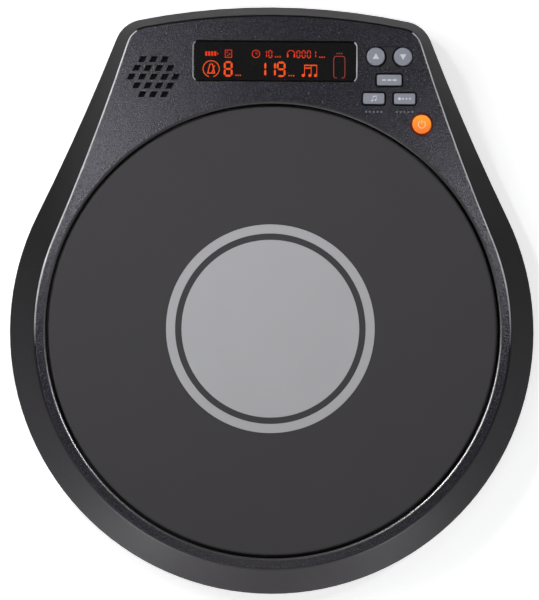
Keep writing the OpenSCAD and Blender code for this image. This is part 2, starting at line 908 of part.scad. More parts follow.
module head_plate() {
    color("#8f9296")
        difference() {
            rod([0, 0], z_plate, plate_t, plate_r);
            for (a = [0 : head_screw_n - 1])
                rod(head_screw_at(a), z_plate - overlap, plate_t + 2 * overlap, screw_r + thread_gap);
        }
}

module damping_foam() {
    color("#3a3a3c")
        difference() {
            rod([0, 0], z_well, foam_t, plate_r);
            rod([0, 0], z_well - overlap, foam_t + 2 * overlap, sensor_hole_r);
            for (a = [0 : head_screw_n - 1])
                rod(head_screw_at(a), z_well - overlap, foam_t + 2 * overlap, screw_r + hole_gap);
        }
}

module head_screws() {
    color("#7d8085")
        for (a = [0 : head_screw_n - 1])
            screw(
                head_screw_at(a), z_well_low, 1, screw_head_r, screw_head_h, screw_r,
                well_floor_t + foam_t + plate_t
            );
}

module piezo_disc() {
    color("#c9a24e")
        rod([0, 0], z_piezo, piezo_t, piezo_r);
}

module piezo_ceramic() {
    color("#e6e2d8")
        rod([0, 0], z_ceramic, ceramic_t, ceramic_r);
}

module piezo_lead() {
    color("#c8322a")
        tube(piezo_route, lead_r, lead_sides);
}

module display_lens() {
    color("#120d0c")
        translate([display_x, display_y]) {
            slab(z_deck_low, deck_t - lens_sink)
                rounded_plate(
                    display_w - 2 * lens_gap, display_h - 2 * lens_gap, display_corner - lens_gap
                );
            slab(z_deck_low - lens_flange_t, lens_flange_t)
                rounded_plate(
                    display_w + 2 * lens_flange, display_h + 2 * lens_flange, display_corner + lens_flange
                );
        }
}

// Seven strokes: top, upper left, upper right, middle, lower left, lower right, bottom
function strokes(n) = [
    [1, 1, 1, 0, 1, 1, 1], [0, 0, 1, 0, 0, 1, 0], [1, 0, 1, 1, 1, 0, 1], [1, 0, 1, 1, 0, 1, 1],
    [0, 1, 1, 1, 0, 1, 0], [1, 1, 0, 1, 0, 1, 1], [1, 1, 0, 1, 1, 1, 1], [1, 0, 1, 0, 0, 1, 0],
    [1, 1, 1, 1, 1, 1, 1], [1, 1, 1, 1, 0, 1, 1]
][n];

module stroke(len, t) {
    half = len / 2;
    polygon([
        [-half, 0], [-half + t / 2, t / 2], [half - t / 2, t / 2],
        [half, 0], [half - t / 2, -t / 2], [-half + t / 2, -t / 2]
    ]);
}

module digit(n, w, h) {
    t = h * 0.14;
    gap = t * 0.2;
    on = strokes(n);
    reach_x = (w - t) / 2;
    reach_y = (h - t) / 2;
    for (i = [0 : 2])
        if (on[3 * i])
            translate([0, (1 - i) * reach_y])
                stroke(2 * reach_x - gap, t);
    for (i = [0, 1], side = [-1, 1])
        if (on[1 + 3 * i + (side + 1) / 2])
            translate([side * reach_x, (0.5 - i) * reach_y])
                rotate(90)
                    stroke(reach_y - gap, t);
}

module digits(list, w, h, pitch) {
    for (i = [0 : len(list) - 1])
        translate([i * pitch, 0])
            digit(list[i], w, h);
}

module ring(r, t) {
    difference() {
        circle(r);
        circle(r - t);
    }
}

module frame(w, h, t) {
    difference() {
        square([w, h], center = true);
        square([w - 2 * t, h - 2 * t], center = true);
    }
}

module battery_sign() {
    for (i = [-1.5 : 1.5])
        translate([i * 1.7, 0])
            square([1.3, 2.6], center = true);
    translate([4, 0])
        square([0.6, 1.2], center = true);
}

module pattern_sign() {
    frame(4.2, 4.6, 0.45);
    for (at = [[-0.7, 0.8], [0.7, -0.1], [-0.4, -1]])
        translate(at)
            circle(0.45);
}

module clock_sign() {
    ring(2.4, 0.5);
    translate([-0.2, -0.2])
        square([0.4, 1.6]);
    translate([-0.2, -0.2])
        square([1.3, 0.4]);
}

module headset_sign() {
    difference() {
        ring(2.4, 0.5);
        translate([-3, -3])
            square([6, 2.6]);
    }
    for (side = [-1, 1])
        translate([side * 1.9, -0.9])
            square([1, 2], center = true);
}

module metronome_sign() {
    difference() {
        ring(4.9, 0.6);
        translate([0, -4.9])
            square([2.4, 2], center = true);
    }
    difference() {
        polygon([[-2.4, -2.8], [2.4, -2.8], [1, 3], [-1, 3]]);
        polygon([[-1.5, -2.1], [1.5, -2.1], [0.5, 2.4], [-0.5, 2.4]]);
    }
    translate([0.1, -1.9])
        rotate(-24)
            square([0.5, 4.4]);
}

module notes_sign() {
    heads = [-3.6, 0.2, 3.4];
    for (x = heads) {
        translate([x - 0.75, -3])
            circle(0.95);
        translate([x - 0.3, -3])
            square([0.5, 6]);
    }
    for (y = [2.4, 0.8])
        translate([heads[0] - 0.3, y])
            square([heads[1] - heads[0] + 0.5, 0.8]);
    translate([heads[1] - 0.3, 2.4])
        square([heads[2] - heads[1] + 0.5, 0.8]);
}

module level_sign() {
    difference() {
        rounded_plate(6.9, 12.8, 1.6);
        rounded_plate(5.9, 11.8, 1.1);
        translate([0, -6.4])
            square([2.4, 2], center = true);
    }
}

// A plain row of dots where a caption would be
module caption_dots(n) {
    for (i = [0 : n - 1])
        translate([i * 1.3, 0])
            square([0.8, 0.8], center = true);
}

module display_signs() {
    top_y = 4.4;
    low_y = -4.3;
    small = [2.4, 4.6];
    large = [5.2, 9];
    translate([-36.6, top_y])
        battery_sign();
    translate([-26.5, top_y])
        pattern_sign();
    translate([-10.8, top_y])
        clock_sign();
    translate([-5.6, top_y])
        digits([1, 0], small.x, small.y, 3);
    translate([0.4, top_y - 1.6])
        caption_dots(3);
    translate([9.2, top_y])
        headset_sign();
    translate([13.4, top_y])
        digits([0, 0, 0, 1], small.x, small.y, 3);
    translate([25.6, top_y - 1.6])
        caption_dots(3);
    translate([-36.3, low_y])
        metronome_sign();
    translate([-26.6, low_y])
        digit(8, large.x, large.y);
    translate([-22.2, low_y - 3.6])
        caption_dots(3);
    translate([-7.4, low_y])
        digits([1, 1, 9], large.x, large.y, 5.5);
    translate([8.2, low_y - 3.6])
        caption_dots(3);
    translate([20.6, low_y - 0.4])
        notes_sign();
    translate([36.8, -2.8])
        level_sign();
    translate([35.5, 5])
        caption_dots(3);
}

module display_segments() {
    color("#ff5a1e")
        translate([display_x, display_y])
            slab(z_deck_low - lens_flange_t - slack - segment_t, segment_t)
                scale(display_h / sign_window_h)
                    display_signs();
}

module display_module() {
    color("#171314")
        translate([display_x, display_y])
            slab(z_control_top, z_deck_low - lens_flange_t - slack - segment_t - z_control_top)
                square([display_w + lens_flange, display_h + lens_flange], center = true);
}

module control_board() {
    left = post_left - post_edge;
    high = post_high + post_edge;
    power_post = control_posts[4];
    color("#2f5d3a")
        difference() {
            slab(z_control, board_t)
                polygon([
                    [left, post_low - post_edge], [power_x - 16, power_y - 14],
                    [power_post.x + post_edge, power_post.y - post_edge], [power_x + 9, power_y + 8],
                    [down_at.x + 8.5, arrow_y + 5], [post_right + post_edge, high], [left, high]
                ]);
            rod([0, 0], z_control - overlap, board_t + 2 * overlap, well_out_r + slack);
            for (at = control_posts)
                rod(at, z_control - overlap, board_t + 2 * overlap, small_r + hole_gap);
        }
}

module control_board_screws() {
    color("#7d8085")
        for (at = control_posts)
            screw(at, z_control, 1, small_head_r, screw_head_h, small_r, board_t + small_len - overlap);
}

module tact_switches() {
    color("#222326")
        for (at = key_places)
            difference() {
                translate([at.x, at.y, z_control_top + switch_h / 2])
                    cube([switch_w, switch_w, switch_h], center = true);
                rod(at, z_plunger - plunger_in - key_travel - slack, switch_h, plunger_r + plunger_gap);
            }
}

module power_lamp() {
    color("#ff9a3c")
        translate([power_x - power_r + 1, power_y, z_control_top])
            block([-1, -1.6, 0], [1, 1.6, 1.2]);
}

module key(at, size) {
    translate(at) {
        slab(lip_low, z_deck + key_proud - lip_low)
            rounded_plate(size.x, size.y, size.z);
        slab(lip_low, key_lip_t)
            rounded_plate(size.x + 2 * key_lip, size.y + 2 * key_lip, size.z + key_lip);
        rod([0, 0], z_plunger + plunger_out, lip_low - z_plunger - plunger_out + overlap, plunger_r);
    }
}

module plunger(at) {
    color("#d8d4cc")
        rod(at, z_plunger - plunger_in, plunger_in + plunger_out, plunger_r);
}

module up_key() {
    color("#7c7c80")
        key(up_at, up_size);
}

module down_key() {
    color("#7c7c80")
        key(down_at, up_size);
}

module mode_key() {
    color("#7c7c80")
        key(mode_at, mode_size);
}

module sound_key() {
    color("#7c7c80")
        key(sound_at, pair_size);
}

module beat_key() {
    color("#7c7c80")
        key(beat_at, pair_size);
}

module power_key() {
    color("#ff7a1c")
        key(power_at, power_size);
}

module grille_cloth() {
    color("#0e0e0f")
        rod([speaker_x, speaker_y], z_deck_low - cloth_t, cloth_t, cone_rim - hole_gap);
}

module speaker_gasket() {
    color("#303032")
        difference() {
            rod([speaker_x, speaker_y], z_gasket, gasket_t, speaker_r);
            rod([speaker_x, speaker_y], z_gasket - overlap, gasket_t + 2 * overlap, cone_rim);
        }
}

module speaker_frame() {
    skin = 0.9;
    throat = magnet_r + 0.5;
    pole_r = throat - 6;
    mouth = cone_rim - 0.5;
    color("#6c6f73")
        difference() {
            union() {
                translate([speaker_x, speaker_y, 0])
                    rotate_extrude()
                        polygon([
                            [pole_r, z_basket], [throat, z_basket],
                            [mouth, z_flange], [speaker_r, z_flange],
                            [speaker_r, z_gasket], [mouth - skin, z_gasket],
                            [throat - skin, z_basket + skin], [pole_r, z_basket + skin]
                        ]);
                speaker_places()
                    rod([0, 0], z_flange, flange_t, ear_r);
            }
            speaker_places()
                rod([0, 0], z_flange - overlap, flange_t + 2 * overlap, small_r + hole_gap);
        }
}

module speaker_cone() {
    paper = 0.4;
    coil_r = 4;
    lip = cone_rim - 2;
    edge = cone_rim - hole_gap;
    z_coil = z_basket + 3.2;
    z_cap = z_coil + 1.2;
    color("#26262a")
        translate([speaker_x, speaker_y, 0])
            rotate_extrude()
                polygon([
                    [0, z_cap], [coil_r, z_coil], [lip, z_gasket - paper], [lip, z_gasket], [edge, z_gasket],
                    [edge, z_gasket + paper], [lip - paper, z_gasket + paper], [lip - paper, z_gasket],
                    [coil_r, z_coil + paper], [0, z_cap + paper]
                ]);
}

module speaker_magnet() {
    color("#3b3c40")
        rod([speaker_x, speaker_y], z_basket - magnet_t, magnet_t, magnet_r);
}

module speaker_screws() {
    color("#7d8085")
        speaker_places()
            screw([0, 0], z_flange, 1, small_head_r, screw_head_h, small_r, flange_t + gasket_t + overlap);
}

module speaker_lead() {
    color("#c8322a")
        tube(speaker_route, lead_r, lead_sides);
}

module main_board() {
    color("#2f5d3a")
        difference() {
            block([main_left, main_front, z_main], [main_right, main_rear, z_main_top]);
            for (at = main_posts)
                rod(at, z_main - overlap, board_t + 2 * overlap, small_r + hole_gap);
        }
}

module board_chips() {
    chip_t = 1.4;
    places = [
        [main_left + 28, 19], [main_right - 26, 8], [main_right - 12, 13], [main_left + 20, 6]
    ];
    sizes = [[12, 12], [8, 6], [6, 5], [6, 5]];
    color("#1d1e20")
        for (i = [0 : len(places) - 1])
            translate([places[i].x, main_front + places[i].y, z_main_top + chip_t / 2])
                cube([sizes[i].x, sizes[i].y, chip_t], center = true);
}

module capacitors() {
    can_r = 3.2;
    can_h = 8;
    color("#2c3d6b")
        for (x = [34, 43])
            rod([main_left + x, main_front + 7], z_main_top, can_h, can_r);
}

module main_board_screws() {
    color("#7d8085")
        for (at = main_posts)
            screw(at, z_main_top, -1, small_head_r, screw_head_h, small_r, board_t + small_len - overlap);
}

module ribbon_sockets() {
    reach = [ribbon_w / 2 + 1.5, 2.2, 0];
    color("#e4e2da")
        for (z = [z_main_top, z_control - socket_h])
            block([ribbon_x, ribbon_y, z] - reach, [ribbon_x, ribbon_y, z + socket_h] + reach);
}

module ribbon() {
    low = z_main_top + socket_h;
    high = z_control - socket_h;
    bow = 1.2;
    steps = 8;
    t = 0.7;
    curve = [
        for (i = [0 : steps])
        let (u = i / steps)
        [bow * (1 - cos(360 * u)) / 2, low + (high - low) * u]
    ];
    color("#9aa0a6")
        translate([ribbon_x - ribbon_w / 2, ribbon_y - t / 2, 0])
            rotate([90, 0, 90])
                linear_extrude(ribbon_w)
                    polygon(concat(curve, [for (i = [steps : -1 : 0]) curve[i] + [t, 0]]));
}

module bore_y(x, z, from_y, depth, r) {
    translate([x, from_y, z])
        rotate([90, 0, 0])
            cylinder(h = depth, r = r);
}

module charge_shape(grow) {
    r = charge_h / 2 + grow;
    for (side = [-1, 1])
        translate([side * (charge_w / 2 - charge_h / 2), 0])
            circle(r);
    square([charge_w - charge_h, 2 * r], center = true);
}

module jack_panel() {
    color("#262527")
        difference() {
            union() {
                block([bay_left + hole_gap, panel_in_y, z_floor], [bay_right - hole_gap, panel_y, z_part]);
                intersection() {
                    block(
                        [bay_left + hole_gap, panel_in_y, roof_low],
                        [bay_right - hole_gap, body_rear + overlap, z_part]
                    );
                    slab(roof_low - overlap, roof_t + 2 * overlap)
                        polygon(outline(foot_line, base_step));
                }
            }
            for (x = [aux_x, phones_x])
                bore_y(x, jack_z, panel_y + overlap, panel_t + 2 * overlap, nozzle_r + hole_gap);
            translate([charge_x, panel_y + overlap, z_charge])
                rotate([90, 0, 0])
                    linear_extrude(panel_t + 2 * overlap)
                        charge_shape(slack);
            block(
                [wheel_x - wheel_r - slack, panel_in_y - overlap, wheel_low - slack],
                [wheel_x + wheel_r + slack, panel_y + overlap, wheel_low + wheel_t + slack]
            );
        }
}

module jack(x) {
    difference() {
        union() {
            block(
                [x - jack_w / 2, panel_in_y - jack_body_d, jack_z - nozzle_r],
                [x + jack_w / 2, panel_in_y, z_main]
            );
            bore_y(x, jack_z, panel_y, panel_t + overlap, nozzle_r);
        }
        bore_y(x, jack_z, panel_y + overlap, jack_depth + overlap, jack_r);
    }
}

module phones_jack() {
    color("#1f1f21")
        jack(phones_x);
}

module aux_jack() {
    color("#1f1f21")
        jack(aux_x);
}

module charging_port() {
    tongue = [6.6, 0.7];
    color("#c4c6c9")
        translate([charge_x, panel_y, z_charge])
            rotate([90, 0, 0]) {
                linear_extrude(charge_d)
                    difference() {
                        charge_shape(0);
                        charge_shape(-charge_skin);
                    }
                translate([0, 0, charge_d - overlap])
                    linear_extrude(overlap)
                        charge_shape(-charge_skin / 2);
                translate([0, 0, overlap])
                    linear_extrude(charge_d - overlap)
                        square(tongue, center = true);
            }
}

module volume_pot() {
    pot_low = wheel_low + wheel_t + slack;
    color("#4a4b50")
        union() {
            block(
                [wheel_x - pot_w / 2, wheel_y - pot_w / 2, pot_low],
                [wheel_x + pot_w / 2, wheel_y + pot_w / 2, z_main]
            );
            rod([wheel_x, wheel_y], wheel_low - slack, pot_low - wheel_low + 2 * slack, pin_r);
        }
}

module volume_wheel() {
    groove_r = 0.4;
    color("#353437")
        translate([wheel_x, wheel_y, wheel_low])
            difference() {
                cylinder(h = wheel_t, r = wheel_r);
                translate([0, 0, -overlap])
                    cylinder(h = wheel_t + 2 * overlap, r = pin_r + pin_fit);
                for (i = [0 : wheel_grooves - 1])
                    rotate(360 * i / wheel_grooves)
                        translate([wheel_r + groove_r / 4, 0, -overlap])
                            cylinder(h = wheel_t + 2 * overlap, r = groove_r);
            }
}

module battery_cells() {
    color("#3c78b4")
        for (side = [-1, 1])
            translate([-cell_len / 2, battery_y + side * cell_offset, z_cell])
                rotate([0, 90, 0])
                    cylinder(h = cell_len, r = cell_r);
}

module battery_clamp() {
    reach = clamp_post_y + clamp_post_r;
    color("#2a2a2c")
        difference() {
            block(
                [-clamp_w / 2, battery_y - reach, z_clamp],
                [clamp_w / 2, battery_y + reach, z_clamp + clamp_t]
            );
            for (at = clamp_posts)
                rod(at, z_clamp - overlap, clamp_t + 2 * overlap, small_r + hole_gap);
        }
}

module clamp_screws() {
    color("#7d8085")
        for (at = clamp_posts)
            screw(
                at, z_clamp + clamp_t, -1, small_head_r, screw_head_h, small_r,
                clamp_t + small_len - overlap
            );
}

module battery_lead() {
    color("#c8322a")
        tube(battery_route, lead_r, lead_sides);
}

seated() upper_shell();
seated() lower_shell();
seated() rubber_feet();
seated() stand_insert();
seated() case_screws();
seated() rubber_head();
seated() target_disc();
seated() target_ring();
seated() head_plate();
seated() damping_foam();
seated() head_screws();
seated() piezo_disc();
seated() piezo_ceramic();
seated() piezo_lead();
seated() display_lens();
seated() display_segments();
seated() display_module();
seated() control_board();
seated() control_board_screws();
seated() tact_switches();
seated() power_lamp();
seated() up_key();
seated() down_key();
seated() mode_key();
seated() sound_key();
seated() beat_key();
seated() power_key();
seated() plunger(up_at);  // up_plunger
seated() plunger(down_at);  // down_plunger
seated() plunger(mode_at);  // mode_plunger
seated() plunger(sound_at);  // sound_plunger
seated() plunger(beat_at);  // beat_plunger
seated() plunger(power_at);  // power_plunger
seated() grille_cloth();
seated() speaker_gasket();
seated() speaker_frame();
seated() speaker_cone();
seated() speaker_magnet();
seated() speaker_screws();
seated() speaker_lead();
seated() main_board();
seated() board_chips();
seated() capacitors();
seated() main_board_screws();
seated() ribbon_sockets();
seated() ribbon();
seated() jack_panel();
seated() phones_jack();
seated() aux_jack();
seated() charging_port();
seated() volume_pot();
seated() volume_wheel();
seated() battery_cells();
seated() battery_clamp();
seated() clamp_screws();
seated() battery_lead();
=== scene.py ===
# %% [markdown]
# # An electronic drum practice pad
# The pad is a moulded case with a round rubber playing head, a lit display, a small speaker and six keys.
# The measured model comes in as a fixed frame. Pieces whose looks matter are worked on as copies of their
# solids, so they keep their size and place; surfaces get their real material's finish, some with painted
# light.

# %% Load the frame
import json
import math

import bmesh
import bpy
from mathutils import Matrix, Vector

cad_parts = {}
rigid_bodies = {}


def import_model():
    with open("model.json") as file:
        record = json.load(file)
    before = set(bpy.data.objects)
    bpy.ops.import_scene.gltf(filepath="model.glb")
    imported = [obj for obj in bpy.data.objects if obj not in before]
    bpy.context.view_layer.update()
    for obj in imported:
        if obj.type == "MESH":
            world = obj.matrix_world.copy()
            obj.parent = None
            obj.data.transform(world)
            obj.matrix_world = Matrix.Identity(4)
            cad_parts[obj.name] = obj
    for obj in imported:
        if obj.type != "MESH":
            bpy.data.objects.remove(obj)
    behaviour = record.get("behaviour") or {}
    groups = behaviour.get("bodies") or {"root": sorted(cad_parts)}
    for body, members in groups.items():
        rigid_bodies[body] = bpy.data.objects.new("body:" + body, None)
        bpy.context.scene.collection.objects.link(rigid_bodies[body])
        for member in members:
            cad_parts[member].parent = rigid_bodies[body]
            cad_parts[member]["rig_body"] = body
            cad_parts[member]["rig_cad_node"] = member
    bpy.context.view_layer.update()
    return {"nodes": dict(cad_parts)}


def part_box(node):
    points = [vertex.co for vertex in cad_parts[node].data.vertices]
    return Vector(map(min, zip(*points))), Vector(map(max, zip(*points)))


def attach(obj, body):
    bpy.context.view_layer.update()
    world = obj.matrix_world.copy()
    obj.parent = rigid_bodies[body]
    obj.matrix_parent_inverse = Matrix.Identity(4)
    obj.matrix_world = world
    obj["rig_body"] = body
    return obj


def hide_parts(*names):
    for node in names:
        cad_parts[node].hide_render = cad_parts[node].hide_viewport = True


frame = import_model()
nodes = frame["nodes"]
MM = 0.001
# The head, the well and the lip share one upright axis.
PAD_Y = -18.2
PAD = Vector((0, PAD_Y)) * MM


def add_object(name, data):
    """A new object in the scene with this data."""
    new = bpy.data.objects.new(name, data)
    bpy.context.scene.collection.objects.link(new)
    return new


# %% [markdown]
# ## Camera
# The photograph was taken from about two metres straight above, a little to the left and in front, with a
# long lens. A look-at matrix built from the eye, the aim and an upward direction sets that view exactly.

# %% Camera
EYE = Vector((-36.5, -60.5, 2043)) * MM
AIM = Vector((-2.0, -0.8, 43)) * MM
ROLL = -0.006
FOCAL_PIXELS = 3521.2
FRAME_PIXELS = 600
SENSOR = 36

camera_data = bpy.data.cameras.new("photo_camera")
camera_data.sensor_width = SENSOR
camera_data.lens = FOCAL_PIXELS * SENSOR / FRAME_PIXELS
camera = add_object("photo_camera", camera_data)
back = (EYE - AIM).normalized()
right = Vector((math.sin(ROLL), math.cos(ROLL), 0)).cross(back).normalized()
up = back.cross(right)
camera.matrix_world = Matrix.Translation(EYE) @ Matrix((right, up, back)).transposed().to_4x4()
bpy.context.scene.camera = camera
print("lens:", round(camera_data.lens, 1), "mm")

# %% [markdown]
# ## Helpers for finishes
# Each finish starts from a Principled shader with the real material's colour, roughness and index of
# refraction. One function adds a node with its settings and links. Patterns read Object coordinates, which
# are metres here, so a noise with a feature of so many millimetres has a scale of 1000 over that size.

# %% Helpers for finishes
def linear(colour):
    """An sRGB hex colour as the linear numbers that Blender's sockets take."""
    parts = [int(colour[i:i + 2], 16) / 255 for i in (1, 3, 5)]
    return [c / 12.92 if c <= 0.04045 else ((c + 0.055) / 1.055) ** 2.4 for c in parts] + [1]


def new_finish(name, colour, roughness, **sockets):
    """A material with its Principled shader's sockets set, and that shader."""
    material = bpy.data.materials.new(name)
    material.use_nodes = True
    shader = material.node_tree.nodes["Principled BSDF"]
    shader.inputs["Base Color"].default_value = linear(colour)
    shader.inputs["Roughness"].default_value = roughness
    for socket, value in sockets.items():
        shader.inputs[socket.replace("_", " ")].default_value = value
    return material, shader


def add_node(material, kind, settings=None, links=None):
    """Add one shader node, set its sockets and properties, and link sockets to what drives them."""
    tree = material.node_tree
    new = tree.nodes.new("ShaderNode" + kind)
    for name, value in (settings or {}).items():
        if isinstance(name, int) or name in new.inputs:
            new.inputs[name].default_value = value
        else:
            setattr(new, name, value)
    for name, source in (links or {}).items():
        tree.links.new(source, new.inputs[name])
    return new


def per_mm(size):
    """The texture scale at which a feature measures this many millimetres."""
    return 1 / (size * MM)


def moulded(name, dark, light, roughness, mottle, grain, height, speckle=0, **sockets):
    """A moulded plastic or rubber: a slow mottle between two colours, and a fine raised grain, all in mm.

    Speckle is how far the grain, rather than the mottle, sets the colour.
    """
    material, shader = new_finish(name, dark, roughness, **sockets)
    place = add_node(material, "TexCoord").outputs["Object"]
    cloud = add_node(material, "TexNoise", {"Scale": per_mm(mottle), "Detail": 3}, {"Vector": place})
    pits = add_node(material, "TexNoise", {"Scale": per_mm(grain), "Detail": 2}, {"Vector": place})
    peaks = add_node(material, "MapRange", {"From Min": 0.36, "From Max": 0.64}, {0: pits.outputs[0]})
    blend = add_node(material, "Mix", {0: speckle}, {2: cloud.outputs[0], 3: peaks.outputs[0]})
    tint = add_node(
        material, "Mix", {"data_type": "RGBA", 6: linear(dark), 7: linear(light)}, {0: blend.outputs[0]}
    )
    bump = add_node(
        material, "Bump", {"Strength": 1, "Distance": height * MM}, {"Height": pits.outputs[0]}
    )
    gloss = add_node(
        material, "MapRange", {"To Min": roughness - 0.05, "To Max": roughness + 0.05}, {0: cloud.outputs[0]}
    )
    links = material.node_tree.links
    links.new(tint.outputs[2], shader.inputs["Base Color"])
    links.new(bump.outputs[0], shader.inputs["Normal"])
    links.new(gloss.outputs[0], shader.inputs["Roughness"])
    return material


# %% [markdown]
# ## Light and floor
# Soft boxes are area lamps. Five light the pad from the sides, the front and behind, and draw the line of
# light on the lip. Two low ones light the skirt, and four close above the deck bring out the grain. The
# floor is white paint. What the camera or a reflection sees of it is lifted a little, so that it comes out
# white and keeps its shadow.

# %% Light and floor
def soft_box(name, at, aim, size, watts, colour="#FFFFFF"):
    """A square area lamp that hangs at one point and faces another, all in millimetres."""
    data = bpy.data.lights.new(name, "AREA")
    data.size = size * MM
    data.energy = watts
    data.color = linear(colour)[:3]
    lamp = add_object(name, data)
    lamp.location = Vector(at) * MM
    lamp.rotation_euler = (Vector(at) - Vector(aim)).to_track_quat("Z", "Y").to_euler()
    lamp.visible_camera = False
    return lamp


soft_box("left_box", (-660, 260, 800), (0, 0, 40), 300, 2.2)
soft_box("rear_left_box", (-500, 500, 900), (0, 0, 40), 110, 2.4)
soft_box("rear_right_box", (610, 320, 900), (0, 0, 40), 100, 1.35)
soft_box("front_left_box", (-420, -820, 420), (0, 0, 30), 420, 0.8)
soft_box("back_box", (-250, 1000, 600), (0, 0, 40), 420, 0.15, "#FFD6CA")
soft_box("low_left_box", (-560, -900, 20), (0, -120, 20), 40, 41)
soft_box("low_right_box", (520, -900, 20), (0, -100, 20), 40, 27)
soft_box("near_left_box", (-119, 72, 300), (-110, 57, 43), 50, 0.06, "#F5F4FF")
soft_box("near_grille_box", (-95, 141, 300), (-88, 118, 43), 50, 0.02, "#F5F4FF")
soft_box("near_right_box", (140, 56, 300), (120, 43, 43), 50, 0.05, "#F5F4FF")
soft_box("near_front_box", (0, -172, 300), (0, -150, 43), 120, 0.018)

WORLD_LIGHT = 0.16
world = bpy.data.worlds.new("studio")
bpy.context.scene.world = world
world.use_nodes = True
background = world.node_tree.nodes["Background"].inputs
background["Color"].default_value = linear("#F4F5F7")
background["Strength"].default_value = WORLD_LIGHT
bpy.context.scene.view_settings.view_transform = "Standard"

FLOOR_SIZE = 12
FLOOR_Z = -0.05
FLOOR_LIFT = 0.5
bpy.ops.object.select_all(action="DESELECT")
bpy.ops.mesh.primitive_plane_add(size=FLOOR_SIZE, location=(0, 0, FLOOR_Z * MM))
floor = bpy.context.object
floor.name = "floor"
floor_paint, floor_shader = new_finish("matt_white_paint", "#FBFBFB", 0.9, Emission_Color=linear("#FFFFFF"))
ray = add_node(floor_paint, "LightPath").outputs
seen = add_node(
    floor_paint, "Math", {"operation": "MAXIMUM"}, {0: ray["Is Camera Ray"], 1: ray["Is Glossy Ray"]}
)
seen = add_node(
    floor_paint, "Math", {"operation": "MAXIMUM"}, {0: seen.outputs[0], 1: ray["Is Transmission Ray"]}
)
lift = add_node(floor_paint, "Math", {"operation": "MULTIPLY", 1: FLOOR_LIFT}, {0: seen.outputs[0]})
floor_paint.node_tree.links.new(lift.outputs[0], floor_shader.inputs["Emission Strength"])
floor.data.materials.append(floor_paint)

# %% [markdown]
# ## Plastics and rubbers
# The deck is black ABS moulded in a spark-eroded tool, which leaves a sparkling grain. The skirt comes from
# polished steel and is smooth and satin. The head is a charcoal rubber sheet with a dull skin, and the target
# is a paler rubber set into it.

# %% Plastics and rubbers
# The deck's grain is about 0.3 mm on the real case, drawn at 0.8 mm so that it shows at this distance.
deck_abs = moulded(
    "spark_textured_abs", "#050409", "#2F2D3A", 0.2, 40, 0.8, 0.2, 1.0, IOR=1.53, Specular_IOR_Level=0.9
)
skirt_abs = moulded(
    "satin_abs", "#0B0A0B", "#19181A", 0.45, 30, 0.55, 0.05, 0.7, IOR=1.53, Specular_IOR_Level=0.03
)
lip_abs = moulded(
    "polished_abs", "#1C1B1E", "#222124", 0.22, 20, 0.6, 0.004,
    IOR=1.53, Coat_Weight=1.0, Coat_Roughness=0.27, Coat_IOR=2.15,
)
well_abs = moulded("matt_abs", "#1F1E22", "#262529", 0.5, 30, 0.6, 0.02, IOR=1.53)
base_abs = moulded(
    "fine_matt_abs", "#0E0D0F", "#141315", 0.55, 30, 0.6, 0.02, IOR=1.53, Specular_IOR_Level=0.12
)
head_rubber = moulded(
    "charcoal_sheet_rubber", "#464446", "#4A484A", 0.72, 25, 0.7, 0.02, IOR=1.52, Specular_IOR_Level=0.25
)
# The steep edge of the head is a far darker rubber: painted shade where it turns down into the gap.
head_edge_shade = moulded(
    "painted_shade_rubber_edge", "#151416", "#19181A", 0.85, 25, 0.7, 0.03, IOR=1.52, Specular_IOR_Level=0.1
)
# Near-black for the rings round the keys: painted shade of the gaps and the raised keys.
gap_shade_paint = moulded("painted_gap_shade", "#050505", "#080808", 0.8, 6, 0.4, 0.01, Specular_IOR_Level=0.1)
target_rubber = moulded("grey_inlay_rubber", "#BFBFC2", "#C5C5C8", 0.7, 25, 0.7, 0.02, IOR=1.52)
foot_rubber = moulded("black_foot_rubber", "#191919", "#202021", 0.8, 8, 0.4, 0.02, IOR=1.52)
key_abs = moulded("grey_key_abs", "#989CA7", "#A0A4AF", 0.42, 6, 0.4, 0.006, IOR=1.53)
print("finishes:", len(bpy.data.materials))

# %% Painted highlight on the crease
# The upper part of the crease along both sides is painted near white as a painted highlight of patchy
# strength, fading to the plain dark plastic at the front. The slopes at the ends of the window get the same
# painted highlight.
PLAIN_EDGE, PAINTED_HIGHLIGHT = "#131214", "#F0F0F2"
HIGHLIGHT_FROM, HIGHLIGHT_FULL = -28, 22
HIGHLIGHT_LOW, HIGHLIGHT_HIGH = 42.4, 42.5
crease_highlight_paint, crease_highlight_shader = new_finish("painted_highlight_abs_edge", PLAIN_EDGE, 0.6, Specular_IOR_Level=0.035)
place = add_node(crease_highlight_paint, "TexCoord").outputs["Object"]
along = add_node(crease_highlight_paint, "SeparateXYZ", None, {0: place})
highlight_strength = add_node(
    crease_highlight_paint, "MapRange", {"From Min": HIGHLIGHT_FROM * MM, "From Max": HIGHLIGHT_FULL * MM}, {0: along.outputs["Y"]}
)
patchy = add_node(crease_highlight_paint, "TexNoise", {"Scale": per_mm(9), "Detail": 2}, {"Vector": place})
patchy = add_node(crease_highlight_paint, "MapRange", {"From Min": 0.2, "To Min": 0.6}, {0: patchy.outputs[0]})
highlight_strength = add_node(crease_highlight_paint, "Math", {"operation": "MULTIPLY"}, {0: highlight_strength.outputs[0], 1: patchy.outputs[0]})
upper = add_node(
    crease_highlight_paint, "MapRange", {"From Min": HIGHLIGHT_LOW * MM, "From Max": HIGHLIGHT_HIGH * MM}, {0: along.outputs["Z"]}
)
highlight_strength = add_node(crease_highlight_paint, "Math", {"operation": "MULTIPLY"}, {0: highlight_strength.outputs[0], 1: upper.outputs[0]})
tint = add_node(
    crease_highlight_paint, "Mix", {"data_type": "RGBA", 6: linear(PLAIN_EDGE), 7: linear(PAINTED_HIGHLIGHT)}, {0: highlight_strength.outputs[0]}
)
crease_highlight_paint.node_tree.links.new(tint.outputs[2], crease_highlight_shader.inputs["Base Color"])
